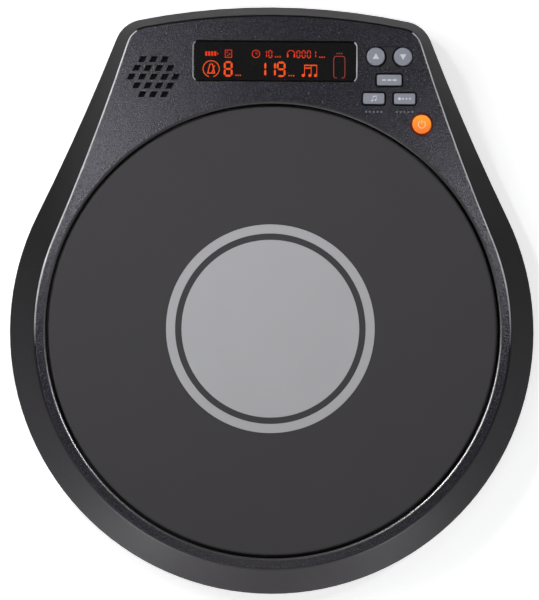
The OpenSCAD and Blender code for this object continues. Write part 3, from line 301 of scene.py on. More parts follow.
print("finishes:", len(bpy.data.materials))

# %% [markdown]
# ## Glass, light and print
# The window is smoked polycarbonate, and the display behind it has segments that glow orange-red on a black
# module. The power key is orange and lit from below. The signs on the keys are white pad print.

# %% Glass, light and print
lens_polycarbonate, _ = new_finish(
    "smoked_polycarbonate", "#8C8886", 0.04, IOR=1.58, Transmission_Weight=1.0
)
lit_segments, segment_shader = new_finish("lit_segment", "#200804", 0.5, Emission_Strength=3.8)
place = add_node(lit_segments, "TexCoord").outputs["Object"]
spot = add_node(lit_segments, "SeparateXYZ", None, {0: place}).outputs
# The small signs behind the figures are redder than the figures, and the outline at the right end is dim.
FIGURES_TO, SIGNS_FROM = 136, 139
SIGNS_TO, OUTLINE_FROM = 31, 33
row = add_node(
    lit_segments, "MapRange", {"From Min": FIGURES_TO * MM, "From Max": SIGNS_FROM * MM}, {0: spot["Y"]}
)
end = add_node(
    lit_segments, "MapRange", {"From Min": SIGNS_TO * MM, "From Max": OUTLINE_FROM * MM}, {0: spot["X"]}
)
glow = add_node(
    lit_segments, "Mix", {"data_type": "RGBA", 6: linear("#FF5A18"), 7: linear("#F23A16")},
    {0: row.outputs[0]},
)
glow = add_node(
    lit_segments, "Mix", {"data_type": "RGBA", 7: linear("#A8443A")}, {0: end.outputs[0], 6: glow.outputs[2]}
)
lit_segments.node_tree.links.new(glow.outputs[2], segment_shader.inputs["Emission Color"])
module_black = moulded("black_display_mask", "#0B090A", "#0E0C0D", 0.6, 10, 0.4, 0.005)
# The lamp stands behind the middle of the power key, so the key is yellower there and redder at the front.
KEY_FRONT, KEY_REAR = 95.5, 103
power_abs, power_shader = new_finish("lit_orange_abs", "#F07A1C", 0.35, Emission_Strength=0.4)
place = add_node(power_abs, "TexCoord").outputs["Object"]
along = add_node(power_abs, "SeparateXYZ", None, {0: place}).outputs["Y"]
behind = add_node(power_abs, "MapRange", {"From Min": KEY_FRONT * MM, "From Max": KEY_REAR * MM}, {0: along})
glow = add_node(
    power_abs, "Mix", {"data_type": "RGBA", 6: linear("#F27420"), 7: linear("#FF9A26")},
    {0: behind.outputs[0]},
)
power_abs.node_tree.links.new(glow.outputs[2], power_shader.inputs["Base Color"])
power_abs.node_tree.links.new(glow.outputs[2], power_shader.inputs["Emission Color"])
power_rim = moulded(
    "lit_orange_abs_rim", "#8C1D08", "#96240C", 0.3, 4, 0.4, 0.004,
    Emission_Color=linear("#A82508"), Emission_Strength=0.2,
)
# The ring round the power key: dark red painted shade with a painted glow of its lamp.
red_gap_shade_paint = moulded(
    "painted_red_gap_shade_and_glow", "#2A0603", "#300804", 0.8, 6, 0.4, 0.01,
    Emission_Color=linear("#5A0E06"), Emission_Strength=0.3,
)
lit_print = moulded(
    "lit_pad_print", "#FFC49C", "#FFC8A2", 0.5, 3, 0.3, 0.003,
    Emission_Color=linear("#FFB48A"), Emission_Strength=0.35,
)
deck_print = moulded("grey_pad_print", "#6E6E76", "#76767E", 0.5, 3, 0.3, 0.003)
print_white = moulded("white_pad_print", "#E4E6EA", "#EEF0F2", 0.5, 3, 0.3, 0.003)
print("finishes:", len(bpy.data.materials))

# %% [markdown]
# ## Helpers for pieces
# A copy of a solid comes as loose triangles, so it is merged first, and flat triangles are dissolved into
# larger faces. Edges are then picked in code by their place and rounded with the bevel operator. Smooth
# shading by angle, with normals weighted by face area, keeps flat faces flat beside a rounded edge.

# %% Helpers for pieces
def pick(piece):
    """Make one piece the only selected and active object."""
    if bpy.context.mode != "OBJECT":
        bpy.ops.object.mode_set(mode="OBJECT")
    bpy.ops.object.select_all(action="DESELECT")
    piece.select_set(True)
    bpy.context.view_layer.objects.active = piece


def merge_flat(threshold):
    """In edit mode, join points nearer than so many millimetres and dissolve flat triangles."""
    bpy.ops.mesh.select_all(action="SELECT")
    bpy.ops.mesh.remove_doubles(threshold=threshold * MM)
    bpy.ops.mesh.dissolve_limited(angle_limit=math.radians(0.2))


def close_skin():
    """In edit mode, join double points and turn all faces outwards, then leave edit mode."""
    bpy.ops.mesh.select_all(action="SELECT")
    bpy.ops.mesh.remove_doubles(threshold=0.002 * MM)
    bpy.ops.mesh.normals_make_consistent(inside=False)
    bpy.ops.object.mode_set(mode="OBJECT")


def triangles(piece):
    """How many triangles a piece has."""
    return sum(len(face.vertices) - 2 for face in piece.data.polygons)


def working_copy(node, name):
    """A copy of a CAD node as a new piece, merged into one skin."""
    piece = nodes[node].copy()
    piece.data = nodes[node].data.copy()
    piece.name = piece.data.name = name
    piece.parent = None
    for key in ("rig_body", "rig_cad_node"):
        del piece[key]
    bpy.context.scene.collection.objects.link(piece)
    piece.data.materials.clear()
    pick(piece)
    bpy.ops.mesh.customdata_custom_splitnormals_clear()
    bpy.ops.object.mode_set(mode="EDIT")
    merge_flat(0.001)
    bpy.ops.object.mode_set(mode="OBJECT")
    return piece


def round_edges(piece, width, segments, wanted):
    """Bevel the edges that the test wants, by a width in millimetres."""
    pick(piece)
    bpy.ops.object.mode_set(mode="EDIT")
    bpy.ops.mesh.select_mode(type="EDGE")
    bpy.ops.mesh.select_all(action="DESELECT")
    skin = bmesh.from_edit_mesh(piece.data)
    for edge in skin.edges:
        edge.select_set(edge.is_manifold and wanted(edge))
    count = sum(edge.select for edge in skin.edges)
    bmesh.update_edit_mesh(piece.data)
    if count:
        bpy.ops.mesh.bevel(offset=width * MM, segments=segments, affect="EDGES", clamp_overlap=True)
    bpy.ops.object.mode_set(mode="OBJECT")
    print(piece.name, "rounded edges:", count)


def shade(piece, angle=35):
    """Smooth shading by angle, with normals weighted towards the large faces."""
    pick(piece)
    bpy.ops.object.shade_smooth_by_angle(angle=math.radians(angle))
    weighted = piece.modifiers.new("weighted", "WEIGHTED_NORMAL")
    weighted.keep_sharp = True
    bpy.ops.object.modifier_apply(modifier=weighted.name)


def fit(piece, body, slot, *replaced):
    """Let a finished piece ride on its body and stand for the nodes that it replaces."""
    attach(piece, body)
    if replaced:
        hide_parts(*replaced)


def sharp_at(height, least=30):
    """A test for sharp edges that lie at one height, in millimetres."""
    def wanted(edge):
        level = all(abs(v.co.z - height * MM) < 0.02 * MM for v in edge.verts)
        return level and math.degrees(edge.calc_face_angle(0)) > least
    return wanted


# %% [markdown]
# ## Upper shell
# The deck, the skirt and the well are one moulding. The rim of the well is levelled first, because the lip
# is a piece of its own. Key holes and grille slots have slightly rounded rims on a real moulding, so those
# edges are bevelled. Flat faces at deck height take the grain, the crease and the window's end slopes get a
# painted highlight, the well and the recesses are matt, and the rest is smooth.

# %% Upper shell
BEAD = 0.6
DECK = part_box("upper_shell")[1].z / MM - BEAD
DECK_IN = 133
WELL_R, GROOVE_R, GROOVE_DEPTH = 129.3, 131.8, 0.4
case = working_copy("upper_shell", "case_top")
bpy.ops.object.mode_set(mode="EDIT")
skin = bmesh.from_edit_mesh(case.data)
for vertex in skin.verts:
    out = (vertex.co.xy - PAD).length / MM
    if WELL_R - 0.2 < out < GROOVE_R + 0.1 and vertex.co.z / MM > DECK - GROOVE_DEPTH - 0.02:
        vertex.co.z = DECK * MM
bmesh.update_edit_mesh(case.data)
merge_flat(0.002)
bpy.ops.object.mode_set(mode="OBJECT")

SMOOTH, GRAIN, HIGHLIGHT_EDGE, MATT = range(4)
for finish in (skirt_abs, deck_abs, crease_highlight_paint, well_abs):
    case.data.materials.append(finish)
# Level faces at deck height take the grain; the crease and the window's end slopes take the painted
# highlight.
for face in case.data.polygons:
    level = face.normal.z > 0.98
    slopes = 0.5 < face.normal.z < 0.96
    faces_side_or_front = abs(face.normal.x) > 0.55 * face.normal.xy.length or face.center.y < 0
    below = DECK - face.center.z / MM
    out = (face.center.xy - PAD).length / MM
    if level and below < 0.3:
        face.material_index = GRAIN
    elif out > DECK_IN and slopes and faces_side_or_front and below < 1:
        face.material_index = HIGHLIGHT_EDGE
    elif out < 130 or (level and below < 1.5):
        face.material_index = MATT


def at_deck(edge):
    """Whether an edge lies at deck height, outside the lip round the well."""
    level = all(abs(v.co.z - DECK * MM) < 0.02 * MM for v in edge.verts)
    return level and min((v.co.xy - PAD).length for v in edge.verts) > DECK_IN * MM


def hole_rim(edge):
    """The rim of a key hole or a grille slot."""
    low, high = sorted(face.normal.z for face in edge.link_faces)
    return at_deck(edge) and low < 0.15 and high > 0.98


round_edges(case, 0.2, 2, hole_rim)
shade(case)
fit(case, "housing", "case_plastic", "upper_shell")
print("case_top triangles:", triangles(case))

# %% [markdown]
# ## Lip round the well
# A polished lip stands round the well and frames the playing head. It rises outwards in a shallow arc, so its
# section is drawn as a few points and turned once round the pad's axis. The even rows of faces give one clean
# line of light, where the triangles of the solid would break it up.

# %% Lip round the well
def turned(name, section, axis, steps, closed):
    """A section of radii and heights in millimetres, turned once round an upright axis."""
    count = len(section)
    links = [(i, (i + 1) % count) for i in range(count if closed else count - 1)]
    data = bpy.data.meshes.new(name)
    data.from_pydata([(axis.x + r * MM, axis.y, z * MM) for r, z in section], links, [])
    piece = add_object(name, data)
    pick(piece)
    bpy.ops.object.mode_set(mode="EDIT")
    bpy.ops.mesh.select_all(action="SELECT")
    bpy.ops.mesh.spin(steps=steps, angle=math.tau, center=(axis.x, axis.y, 0), axis=(0, 0, 1))
    close_skin()
    return piece


LIP_IN, LIP_OUT = 129.1, 130.6
LIP_TOP, LIP_FOOT = DECK + 1.05, DECK - 0.6
LIP_STEP = 0.2
FLAT, STEEP, ROWS = 10, 34, 8
tilts = [math.radians(FLAT + (STEEP - FLAT) * i / ROWS) for i in range(ROWS + 1)]
lip_r = (LIP_OUT - LIP_IN - LIP_STEP) / (math.sin(tilts[-1]) - math.sin(tilts[0]))
section = [
    (LIP_OUT - lip_r * (math.sin(t) - math.sin(tilts[0])),
     LIP_TOP - lip_r * (math.cos(tilts[0]) - math.cos(t)))
    for t in tilts
]
low_r, low_z = section[-1]
section += [(low_r - 0.13, low_z - 0.13), (LIP_IN, low_z - 0.33), (LIP_IN, LIP_FOOT), (LIP_OUT, LIP_FOOT)]
lip = turned("well_lip", section, PAD, 240, True)
shade(lip, 50)
lip.data.materials.append(lip_abs)
fit(lip, "housing", "case_plastic")
print("well_lip triangles:", triangles(lip))

# %% [markdown]
# ## Lower shell and feet
# The lower shell closes the case from below. It is a plainer, darker moulding, so only its sharp outer
# edges are rounded. Six rubber feet sit in its pockets.

# %% Lower shell and feet
base = working_copy("lower_shell", "case_base")
round_edges(base, 0.3, 2, sharp_at(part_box("rubber_feet")[1].z / MM - 1, 20))
shade(base)
base.data.materials.append(base_abs)
fit(base, "housing", "base_plastic", "lower_shell")

feet = working_copy("rubber_feet", "feet")
round_edges(feet, 0.4, 3, sharp_at(0, 20))
shade(feet)
feet.data.materials.append(foot_rubber)
fit(feet, "housing", "foot_rubber", "rubber_feet")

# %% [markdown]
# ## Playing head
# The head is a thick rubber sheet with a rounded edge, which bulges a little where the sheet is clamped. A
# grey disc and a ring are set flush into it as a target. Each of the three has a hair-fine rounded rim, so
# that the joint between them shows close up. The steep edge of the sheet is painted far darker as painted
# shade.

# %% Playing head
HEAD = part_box("rubber_head")[1].z / MM
RIM_FROM = 120
BULGE = 0.6
for node, name, rubber, slot in (
    ("rubber_head", "playing_head", head_rubber, "pad_rubber"),
    ("target_disc", "target_middle", target_rubber, "target_rubber"),
    ("target_ring", "target_band", target_rubber, "target_rubber"),
):
    piece = working_copy(node, name)
    round_edges(piece, 0.12, 2, sharp_at(HEAD, 50))
    shade(piece)
    piece.data.materials.append(rubber)
    if node == "rubber_head":
        piece.data.materials.append(head_edge_shade)
        # Faces steeper than the top take the painted shade.
        for face in piece.data.polygons:
            face.material_index = 1 if face.normal.z < 0.35 else 0
        for vertex in piece.data.vertices:
            out = vertex.co.xy - PAD
            if out.length > RIM_FROM * MM:
                vertex.co.xy += out.normalized() * BULGE * MM
    fit(piece, "housing", slot, node)

# %% [markdown]
# ## Keys
# Two round keys, three oblong ones and the lit power key stand a little above the deck. Each is a copy of
# its solid with a rounded rim. The top is then inset and sunk a little, as a finger key is dished. The
# sides of the power key get less of its light, so they have a darker finish.

# %% Keys
KEY_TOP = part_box("up_key")[1].z / MM
DISH = 0.12
DISH_RIM = 0.35
ROUND_KEY, OBLONG_KEY = 0.7, 0.45
KEYS = {
    "up": (key_abs, "key_plastic", ROUND_KEY), "down": (key_abs, "key_plastic", ROUND_KEY),
    "mode": (key_abs, "key_plastic", OBLONG_KEY), "sound": (key_abs, "key_plastic", OBLONG_KEY),
    "beat": (key_abs, "key_plastic", OBLONG_KEY), "power": (power_abs, "power_plastic", ROUND_KEY),
}


def dish_top(piece, rim):
    """Inset the top face of a key and push it down."""
    pick(piece)
    bpy.ops.object.mode_set(mode="EDIT")
    bpy.ops.mesh.select_mode(type="FACE")
    bpy.ops.mesh.select_all(action="DESELECT")
    skin = bmesh.from_edit_mesh(piece.data)
    for face in skin.faces:
        face.select_set(face.normal.z > 0.99 and face.calc_center_median().z > (KEY_TOP - 0.01) * MM)
    bmesh.update_edit_mesh(piece.data)
    bpy.ops.mesh.inset(thickness=rim * MM, use_boundary=True)
    bpy.ops.transform.translate(value=(0, 0, -DISH * MM))
    bpy.ops.object.mode_set(mode="OBJECT")


for key, (plastic, slot, rim) in KEYS.items():
    piece = working_copy(key + "_key", key + "_cap")
    round_edges(piece, rim, 3, sharp_at(KEY_TOP, 50))
    dish_top(piece, DISH_RIM)
    shade(piece, 40)
    piece.data.materials.append(plastic)
    if key == "power":
        piece.data.materials.append(power_rim)
        for face in piece.data.polygons:
            face.material_index = 1 if face.normal.z < 0.75 else 0
    fit(piece, "key_" + key, slot, key + "_key")

# %% [markdown]
# ## Painted shade round the keys
# A near-black ring round each key fills the dark gap and paints the shade of the raised key onto the deck.
# Two rounded outlines, one for each side of the ring, are joined by faces at a lower and an upper height.

# %% Painted shade round the keys
SHADE_GAP = 0.25
SHADE_WIDTH = 0.75
SHADE_SUNK, SHADE_PROUD = 0.3, 0.05
RECESS = 1.0


def rounded(x, y, w, h, r, count=8):
    """A rounded oblong about a middle point."""
    corners = ((1, 1, 0), (-1, 1, 90), (-1, -1, 180), (1, -1, 270))
    return [
        (x + a * (w / 2 - r) + r * math.cos(math.radians(start + 90 * i / count)),
         y + b * (h / 2 - r) + r * math.sin(math.radians(start + 90 * i / count)))
        for a, b, start in corners for i in range(count + 1)
    ]


def flat_ring(name, inner, outer, low, high):
    """A ring between two outlines of as many points, from one height to another, all in millimetres."""
    count = len(inner)
    levels = ((inner, low), (outer, low), (outer, high), (inner, high))
    points = [(x * MM, y * MM, z * MM) for outline, z in levels for x, y in outline]
    faces = [
        (a * count + i, a * count + (i + 1) % count, b * count + (i + 1) % count, b * count + i)
        for a, b in ((0, 1), (1, 2), (2, 3), (3, 0)) for i in range(count)
    ]
    data = bpy.data.meshes.new(name)
    data.from_pydata(points, [], faces)
    ring = add_object(name, data)
    pick(ring)
    bpy.ops.object.mode_set(mode="EDIT")
    close_skin()
    return ring


for key in KEYS:
    cap = bpy.data.objects[key + "_cap"]
    tops = [v.co / MM for v in cap.data.vertices if v.co.z > (DECK - 0.5) * MM]
    left, right_end = min(v.x for v in tops), max(v.x for v in tops)
    front, rear = min(v.y for v in tops), max(v.y for v in tops)
    x, y, w, h = (left + right_end) / 2, (front + rear) / 2, right_end - left, rear - front
    r = h / 2 if abs(w - h) < 0.5 else 1
    outlines = [
        rounded(x, y, w + 2 * add, h + 2 * add, r + add - 0.001) for add in (SHADE_GAP, SHADE_GAP + SHADE_WIDTH)
    ]
    floor_z = DECK - (RECESS if key in ("up", "down") else 0)
    ring = flat_ring(key + "_gap_shade_ring", *outlines, floor_z - SHADE_SUNK, floor_z + SHADE_PROUD)
    # Each ring is painted shade; the power key's ring is dark red with a painted glow of its lamp.
    ring.data.materials.append(red_gap_shade_paint if key == "power" else gap_shade_paint)
    fit(ring, "housing", "foot_rubber")
print("gap shade rings:", len(KEYS))

# %% [markdown]
# ## Signs on the keys
# The signs are printed: an up and a down arrow, three bars, a pair of notes, four beats and a power sign.
# Each is drawn as flat outlines in millimetres and thickened by a hair, so that it lies on its key.

# %% Outlines for flat signs
def bar(x, y, w, h, lean=0):
    """A bar about a middle point, leaning sideways."""
    return [
        (x - w / 2 - lean, y - h / 2), (x + w / 2 - lean, y - h / 2),
        (x + w / 2 + lean, y + h / 2), (x - w / 2 + lean, y + h / 2),
    ]


def dot(x, y, r, squash=1, turn=0, count=24):
    """A disc, or an ellipse turned by an angle in degrees."""
    c, s = math.cos(math.radians(turn)), math.sin(math.radians(turn))
    angles = [i * math.tau / count for i in range(count)]
    points = [(r * math.cos(a), r * squash * math.sin(a)) for a in angles]
    return [(x + c * u - s * v, y + s * u + c * v) for u, v in points]


def band(x, y, r, width, start, end, count=24):
    """A curved stroke of one width, from one angle to another in degrees."""
    angles = [math.radians(start + (end - start) * i / count) for i in range(count + 1)]
    outer, inner = (
        [(x + reach * math.cos(a), y + reach * math.sin(a)) for a in angles]
        for reach in (r + width / 2, r - width / 2)
    )
    return outer + inner[::-1]


LAYER = 0.001


def flat_sign(name, outlines, at, thickness):
    """Flat outlines in millimetres about a point, each a layer higher, thickened upwards as one piece."""
    points, faces = [], []
    for rank, outline in enumerate(outlines):
        faces.append(list(range(len(points), len(points) + len(outline))))
        points += [(at.x + x * MM, at.y + y * MM, at.z + rank * LAYER * MM) for x, y in outline]
    data = bpy.data.meshes.new(name)
    data.from_pydata(points, [], faces)
    piece = add_object(name, data)
    solid = piece.modifiers.new("thickness", "SOLIDIFY")
    solid.thickness = thickness * MM
    solid.offset = 1
    pick(piece)
    bpy.ops.object.modifier_apply(modifier=solid.name)
    return piece


# %% Signs on the keys
PRINT = 0.03
MARK_GAP = 3.2
note_pair = [
    dot(-0.95, -1.15, 0.62, 0.75, 20), dot(0.95, -0.85, 0.62, 0.75, 20), bar(-0.48, 0.15, 0.28, 2.5),
    bar(1.42, 0.45, 0.28, 2.5), [(-0.62, 0.9), (1.56, 1.2), (1.56, 1.75), (-0.62, 1.45)],
]
KEY_SIGNS = {
    "up": [[(-1.9, -1.4), (1.9, -1.4), (0, 1.9)]],
    "down": [[(-1.9, 1.4), (0, -1.9), (1.9, 1.4)]],
    "mode": [bar(x, 0, 2.2, 0.9) for x in (-3, 0, 3)],
    "sound": note_pair,
    "beat": [dot(-3, 0, 0.85)] + [dot(x, 0, 0.55) for x in (-1, 1, 3)],
    "power": [band(0, -0.1, 2.0, 0.5, 125, 415), bar(0, 1.5, 0.5, 2.2)],
}
for key, outlines in KEY_SIGNS.items():
    low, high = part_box(key + "_key")
    at = (low + high) / 2
    at.z = (KEY_TOP - DISH) * MM
    sign = flat_sign(key + "_sign", outlines, at, PRINT)
    sign.data.materials.append(print_white if key != "power" else lit_print)
    fit(sign, "key_" + key, "key_plastic" if key != "power" else "power_plastic")
    print(sign.name, "triangles:", triangles(sign))

# A row of small marks is printed on the deck in front of the sound and the beat key.
for key in ("sound", "beat"):
    low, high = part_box(key + "_key")
    at = Vector(((low.x + high.x) / 2, low.y - MARK_GAP * MM, DECK * MM))
    marks = flat_sign(key + "_marks", [bar(x, 0, 1.1, 1.0) for x in (-4.4, -2.2, 0, 2.2, 4.4)], at, PRINT)
    marks.data.materials.append(deck_print)
    fit(marks, "housing", "case_plastic")
    print(marks.name, "triangles:", triangles(marks))

# %% [markdown]
# ## Display
# A smoked window lies just below the deck. The lit signs lie under it on a black module, so the light is seen
# through the window's tint and its polish shows as reflections. The strokes of the signs are a little thinner
# than in the solid, so their sides are moved inwards and their height is kept.

# %% Display
window = working_copy("display_lens", "display_window")
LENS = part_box("display_lens")[1].z / MM
round_edges(window, 0.08, 2, sharp_at(LENS, 50))
shade(window)
window.data.materials.append(lens_polycarbonate)
fit(window, "housing", "lens", "display_lens")


def paint(node, material):
    """Give a CAD node that stays in view its finish."""
    nodes[node].data.materials.clear()
    nodes[node].data.materials.append(material)


paint("display_module", module_black)

STROKE_TRIM = 0.07
signs = working_copy("display_segments", "lit_signs")
heights = [vertex.co.z for vertex in signs.data.vertices]
pick(signs)
bpy.ops.object.mode_set(mode="EDIT")
bpy.ops.mesh.select_all(action="SELECT")
bpy.ops.transform.shrink_fatten(value=-STROKE_TRIM * MM, use_even_offset=True)
bpy.ops.object.mode_set(mode="OBJECT")
for vertex, height in zip(signs.data.vertices, heights):
    vertex.co.z = height
signs.data.materials.append(lit_segments)
fit(signs, "housing", "lit_segments", "display_segments")
print("lit_signs box:", [round(d / MM, 2) for d in signs.dimensions])

# %% [markdown]
# ## Finishes inside
# Nothing inside is seen while the case is closed, but a part can be opened. Metals keep the default index of
# refraction and get their colour from the base colour. Boards are glass epoxy under a green mask, with copper
# lines that show through it as paler green.

# %% Metals, ceramic and plain plastics
zinc_steel = moulded("zinc_plated_steel", "#9EA1A4", "#B0B3B5", 0.34, 6, 0.3, 0.003, Metallic=1.0)
black_steel = moulded("black_oxide_steel", "#2A2A2D", "#363639", 0.42, 4, 0.3, 0.004, Metallic=1.0)
brass = moulded("turned_brass", "#B5923F", "#C8A653", 0.28, 3, 0.2, 0.003, Metallic=1.0)
ferrite = moulded("sintered_ferrite", "#36373A", "#414246", 0.62, 5, 0.4, 0.02)
piezo_ceramic = moulded("silvered_ceramic", "#D9D6CE", "#E6E3DC", 0.3, 4, 0.3, 0.003, IOR=1.6)
nylon = moulded("moulded_nylon", "#DAD8CF", "#E6E4DC", 0.48, 8, 0.5, 0.006, IOR=1.53)
black_nylon = moulded("black_glass_nylon", "#151517", "#1D1D1F", 0.5, 6, 0.4, 0.01, IOR=1.53)
chip_epoxy = moulded("moulded_chip_epoxy", "#1A1A1C", "#222224", 0.6, 4, 0.25, 0.01, IOR=1.55)
blue_sleeve = moulded("blue_shrink_sleeve", "#2A3B69", "#324576", 0.26, 8, 0.6, 0.006, IOR=1.54)
cell_sleeve = moulded("pale_blue_shrink_sleeve", "#3770A8", "#427EB8", 0.24, 14, 0.8, 0.008, IOR=1.54)
ribbon_pvc = moulded("grey_ribbon_pvc", "#959BA0", "#A2A8AD", 0.4, 5, 0.4, 0.004, IOR=1.53)
red_pvc = moulded("red_wire_pvc", "#B3231C", "#C02C24", 0.36, 5, 0.4, 0.003, IOR=1.53)
black_pvc = moulded("black_wire_pvc", "#161617", "#1F1F20", 0.36, 5, 0.4, 0.003, IOR=1.53)
print("finishes:", len(bpy.data.materials))

# %% Board, foam, cloth and paper
board_mask, board_shader = new_finish("green_solder_mask", "#1F5A33", 0.32, IOR=1.55)
place = add_node(board_mask, "TexCoord").outputs["Object"]
cells = add_node(
    board_mask, "TexVoronoi", {"feature": "DISTANCE_TO_EDGE", "Scale": per_mm(3.2), "Randomness": 0.55},
    {"Vector": place},
)
copper = add_node(
    board_mask, "MapRange", {"From Min": 0.05, "From Max": 0.08, "To Min": 1.0, "To Max": 0.0},
    {0: cells.outputs[0]},
)
tint = add_node(
    board_mask, "Mix", {"data_type": "RGBA", 6: linear("#1B5230"), 7: linear("#3B8450")},
    {0: copper.outputs[0]},
)
raised = add_node(
    board_mask, "Bump", {"Strength": 1, "Distance": 0.03 * MM}, {"Height": copper.outputs[0]}
)
board_mask.node_tree.links.new(tint.outputs[2], board_shader.inputs["Base Color"])
board_mask.node_tree.links.new(raised.outputs[0], board_shader.inputs["Normal"])

foam = moulded("closed_cell_foam", "#2F2F31", "#3B3B3D", 0.9, 12, 0.9, 0.25, IOR=1.45)
cone_paper = moulded("pressed_cone_paper", "#222225", "#2D2D31", 0.85, 4, 0.5, 0.05, IOR=1.45)


def band_scale(size):
    """The wave texture's scale at which one band and its gap measure this many millimetres."""
    return math.tau / 20 / (size * MM)


# Speaker cloth has about three threads to the millimetre, drawn at 0.8 mm so that it shows in the slots.
THREAD = 0.8
speaker_cloth, cloth_shader = new_finish("woven_speaker_cloth", "#0C0C0D", 0.85, Sheen_Weight=0.2)
place = add_node(speaker_cloth, "TexCoord").outputs["Object"]
weft = add_node(
    speaker_cloth, "TexWave", {"bands_direction": "X", "Scale": band_scale(THREAD)}, {"Vector": place}
)
warp = add_node(
    speaker_cloth, "TexWave", {"bands_direction": "Y", "Scale": band_scale(THREAD)}, {"Vector": place}
)
threads = add_node(
    speaker_cloth, "Math", {"operation": "MULTIPLY"}, {0: weft.outputs["Fac"], 1: warp.outputs["Fac"]}
)
tint = add_node(
    speaker_cloth, "Mix", {"data_type": "RGBA", 6: linear("#070708"), 7: linear("#19191B")},
    {0: threads.outputs[0]},
)
raised = add_node(
    speaker_cloth, "Bump", {"Strength": 1, "Distance": 0.15 * MM}, {"Height": threads.outputs[0]}
)
speaker_cloth.node_tree.links.new(tint.outputs[2], cloth_shader.inputs["Base Color"])
speaker_cloth.node_tree.links.new(raised.outputs[0], cloth_shader.inputs["Normal"])
print("finishes:", len(bpy.data.materials))

# %% Nodes that keep their shape
for material, names in {
    zinc_steel: ("head_plate", "speaker_frame", "battery_clamp"),
    brass: ("piezo_disc",),
    piezo_ceramic: ("piezo_ceramic",),
    ferrite: ("speaker_magnet",),
    board_mask: ("control_board", "main_board"),
    chip_epoxy: ("board_chips",),
    blue_sleeve: ("capacitors",),
    cell_sleeve: ("battery_cells",),
    nylon: ("ribbon_sockets",) + tuple(key + "_plunger" for key in KEYS),
    black_nylon: ("tact_switches", "volume_pot"),
    lit_segments: ("power_lamp",),
}.items():
    for name in names:
        paint(name, material)
    print(material.name, "on", ", ".join(names))

# %% [markdown]
# ## Screws
# The screws have a cross recess in the head. Each set is a copy of its solid, and only the rim of the heads
# is rounded, where a real screw head is domed by the press.

# %% Screws
for node, steel, slot, head_below in (
    ("case_screws", black_steel, "black_steel", True), ("head_screws", zinc_steel, "steel", True),
    ("speaker_screws", zinc_steel, "steel", True), ("control_board_screws", zinc_steel, "steel", True),
    ("main_board_screws", zinc_steel, "steel", False), ("clamp_screws", zinc_steel, "steel", False),
):
    piece = working_copy(node, node.replace("screws", "screw_set"))
    low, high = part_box(node)
    round_edges(piece, 0.3, 2, sharp_at((low.z if head_below else high.z) / MM, 50))
    shade(piece)
    piece.data.materials.append(steel)
    fit(piece, "housing", slot, node)

# %% [markdown]
# ## Rear bay and stand insert
# Two jacks, a charging port and a volume wheel sit in a recess at the back. They are copies of their solids
# with broken edges, because a moulded or pressed edge always has a small radius that catches the light.

# %% Rear bay and stand insert
def outer_edges(least=40):
    """A test for sharp edges that stand out from the piece."""
    def wanted(edge):
        return edge.is_convex and math.degrees(edge.calc_face_angle(0)) > least
    return wanted


for node, name, finish, body, slot, width in (
    ("jack_panel", "rear_panel", base_abs, "housing", "base_plastic", 0.2),
    ("phones_jack", "phones_socket", black_nylon, "housing", "module_plastic", 0.15),
    ("aux_jack", "line_socket", black_nylon, "housing", "module_plastic", 0.15),
    ("charging_port", "charging_socket", zinc_steel, "housing", "steel", 0.08),
    ("volume_wheel", "volume_knob", base_abs, "wheel", "base_plastic", 0.1),
    ("stand_insert", "stand_bush", brass, "housing", "brass", 0.3),
):
    piece = working_copy(node, name)
    round_edges(piece, width, 2, outer_edges())
    shade(piece)
    piece.data.materials.append(finish)
    fit(piece, body, slot, node)

# %% [markdown]
# ## Foam, cloth and cone
# A foam bed under the steel plate and a foam ring on the speaker take up the stick's blows and the sound.
# Both are cut sheet, so they are copies of their solids with softly rolled edges. The cloth is a thin disc,
# and the cone is one profile turned round the speaker's axis: a cap, a flared cone and a rolled edge.

# %% Foam, cloth and cone
for node, name, roll in (("damping_foam", "foam_bed", 0.9), ("speaker_gasket", "foam_ring", 0.5)):
    piece = working_copy(node, name)
    round_edges(piece, roll, 3, outer_edges(60))
    shade(piece, 50)
    piece.data.materials.append(foam)
    fit(piece, "housing", "foam", node)

CLOTH_LOW, CLOTH_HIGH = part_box("grille_cloth")
SPEAKER = (CLOTH_LOW + CLOTH_HIGH) / 2
CLOTH_R = (CLOTH_HIGH.x - CLOTH_LOW.x) / 2
CLOTH_RINGS, RING_WIDTH, RING_SAG = 6, 2.2, 0.012
SHEET = 0.25
bpy.ops.object.select_all(action="DESELECT")
bpy.ops.mesh.primitive_circle_add(
    vertices=96, radius=CLOTH_R, fill_type="NGON", location=(SPEAKER.x, SPEAKER.y, CLOTH_HIGH.z)
)
cloth = bpy.context.object
cloth.name = cloth.data.name = "speaker_cloth"
bpy.ops.object.transform_apply(location=True)
bpy.ops.object.mode_set(mode="EDIT")
for _ in range(CLOTH_RINGS):
    bpy.ops.mesh.inset(thickness=RING_WIDTH * MM)
    bpy.ops.transform.translate(value=(0, 0, -RING_SAG * MM))
bpy.ops.object.mode_set(mode="OBJECT")
gauge = cloth.modifiers.new("gauge", "SOLIDIFY")
gauge.thickness = SHEET * MM
bpy.ops.object.modifier_apply(modifier=gauge.name)
shade(cloth)
cloth.data.materials.append(speaker_cloth)
fit(cloth, "housing", "cloth", "grille_cloth")

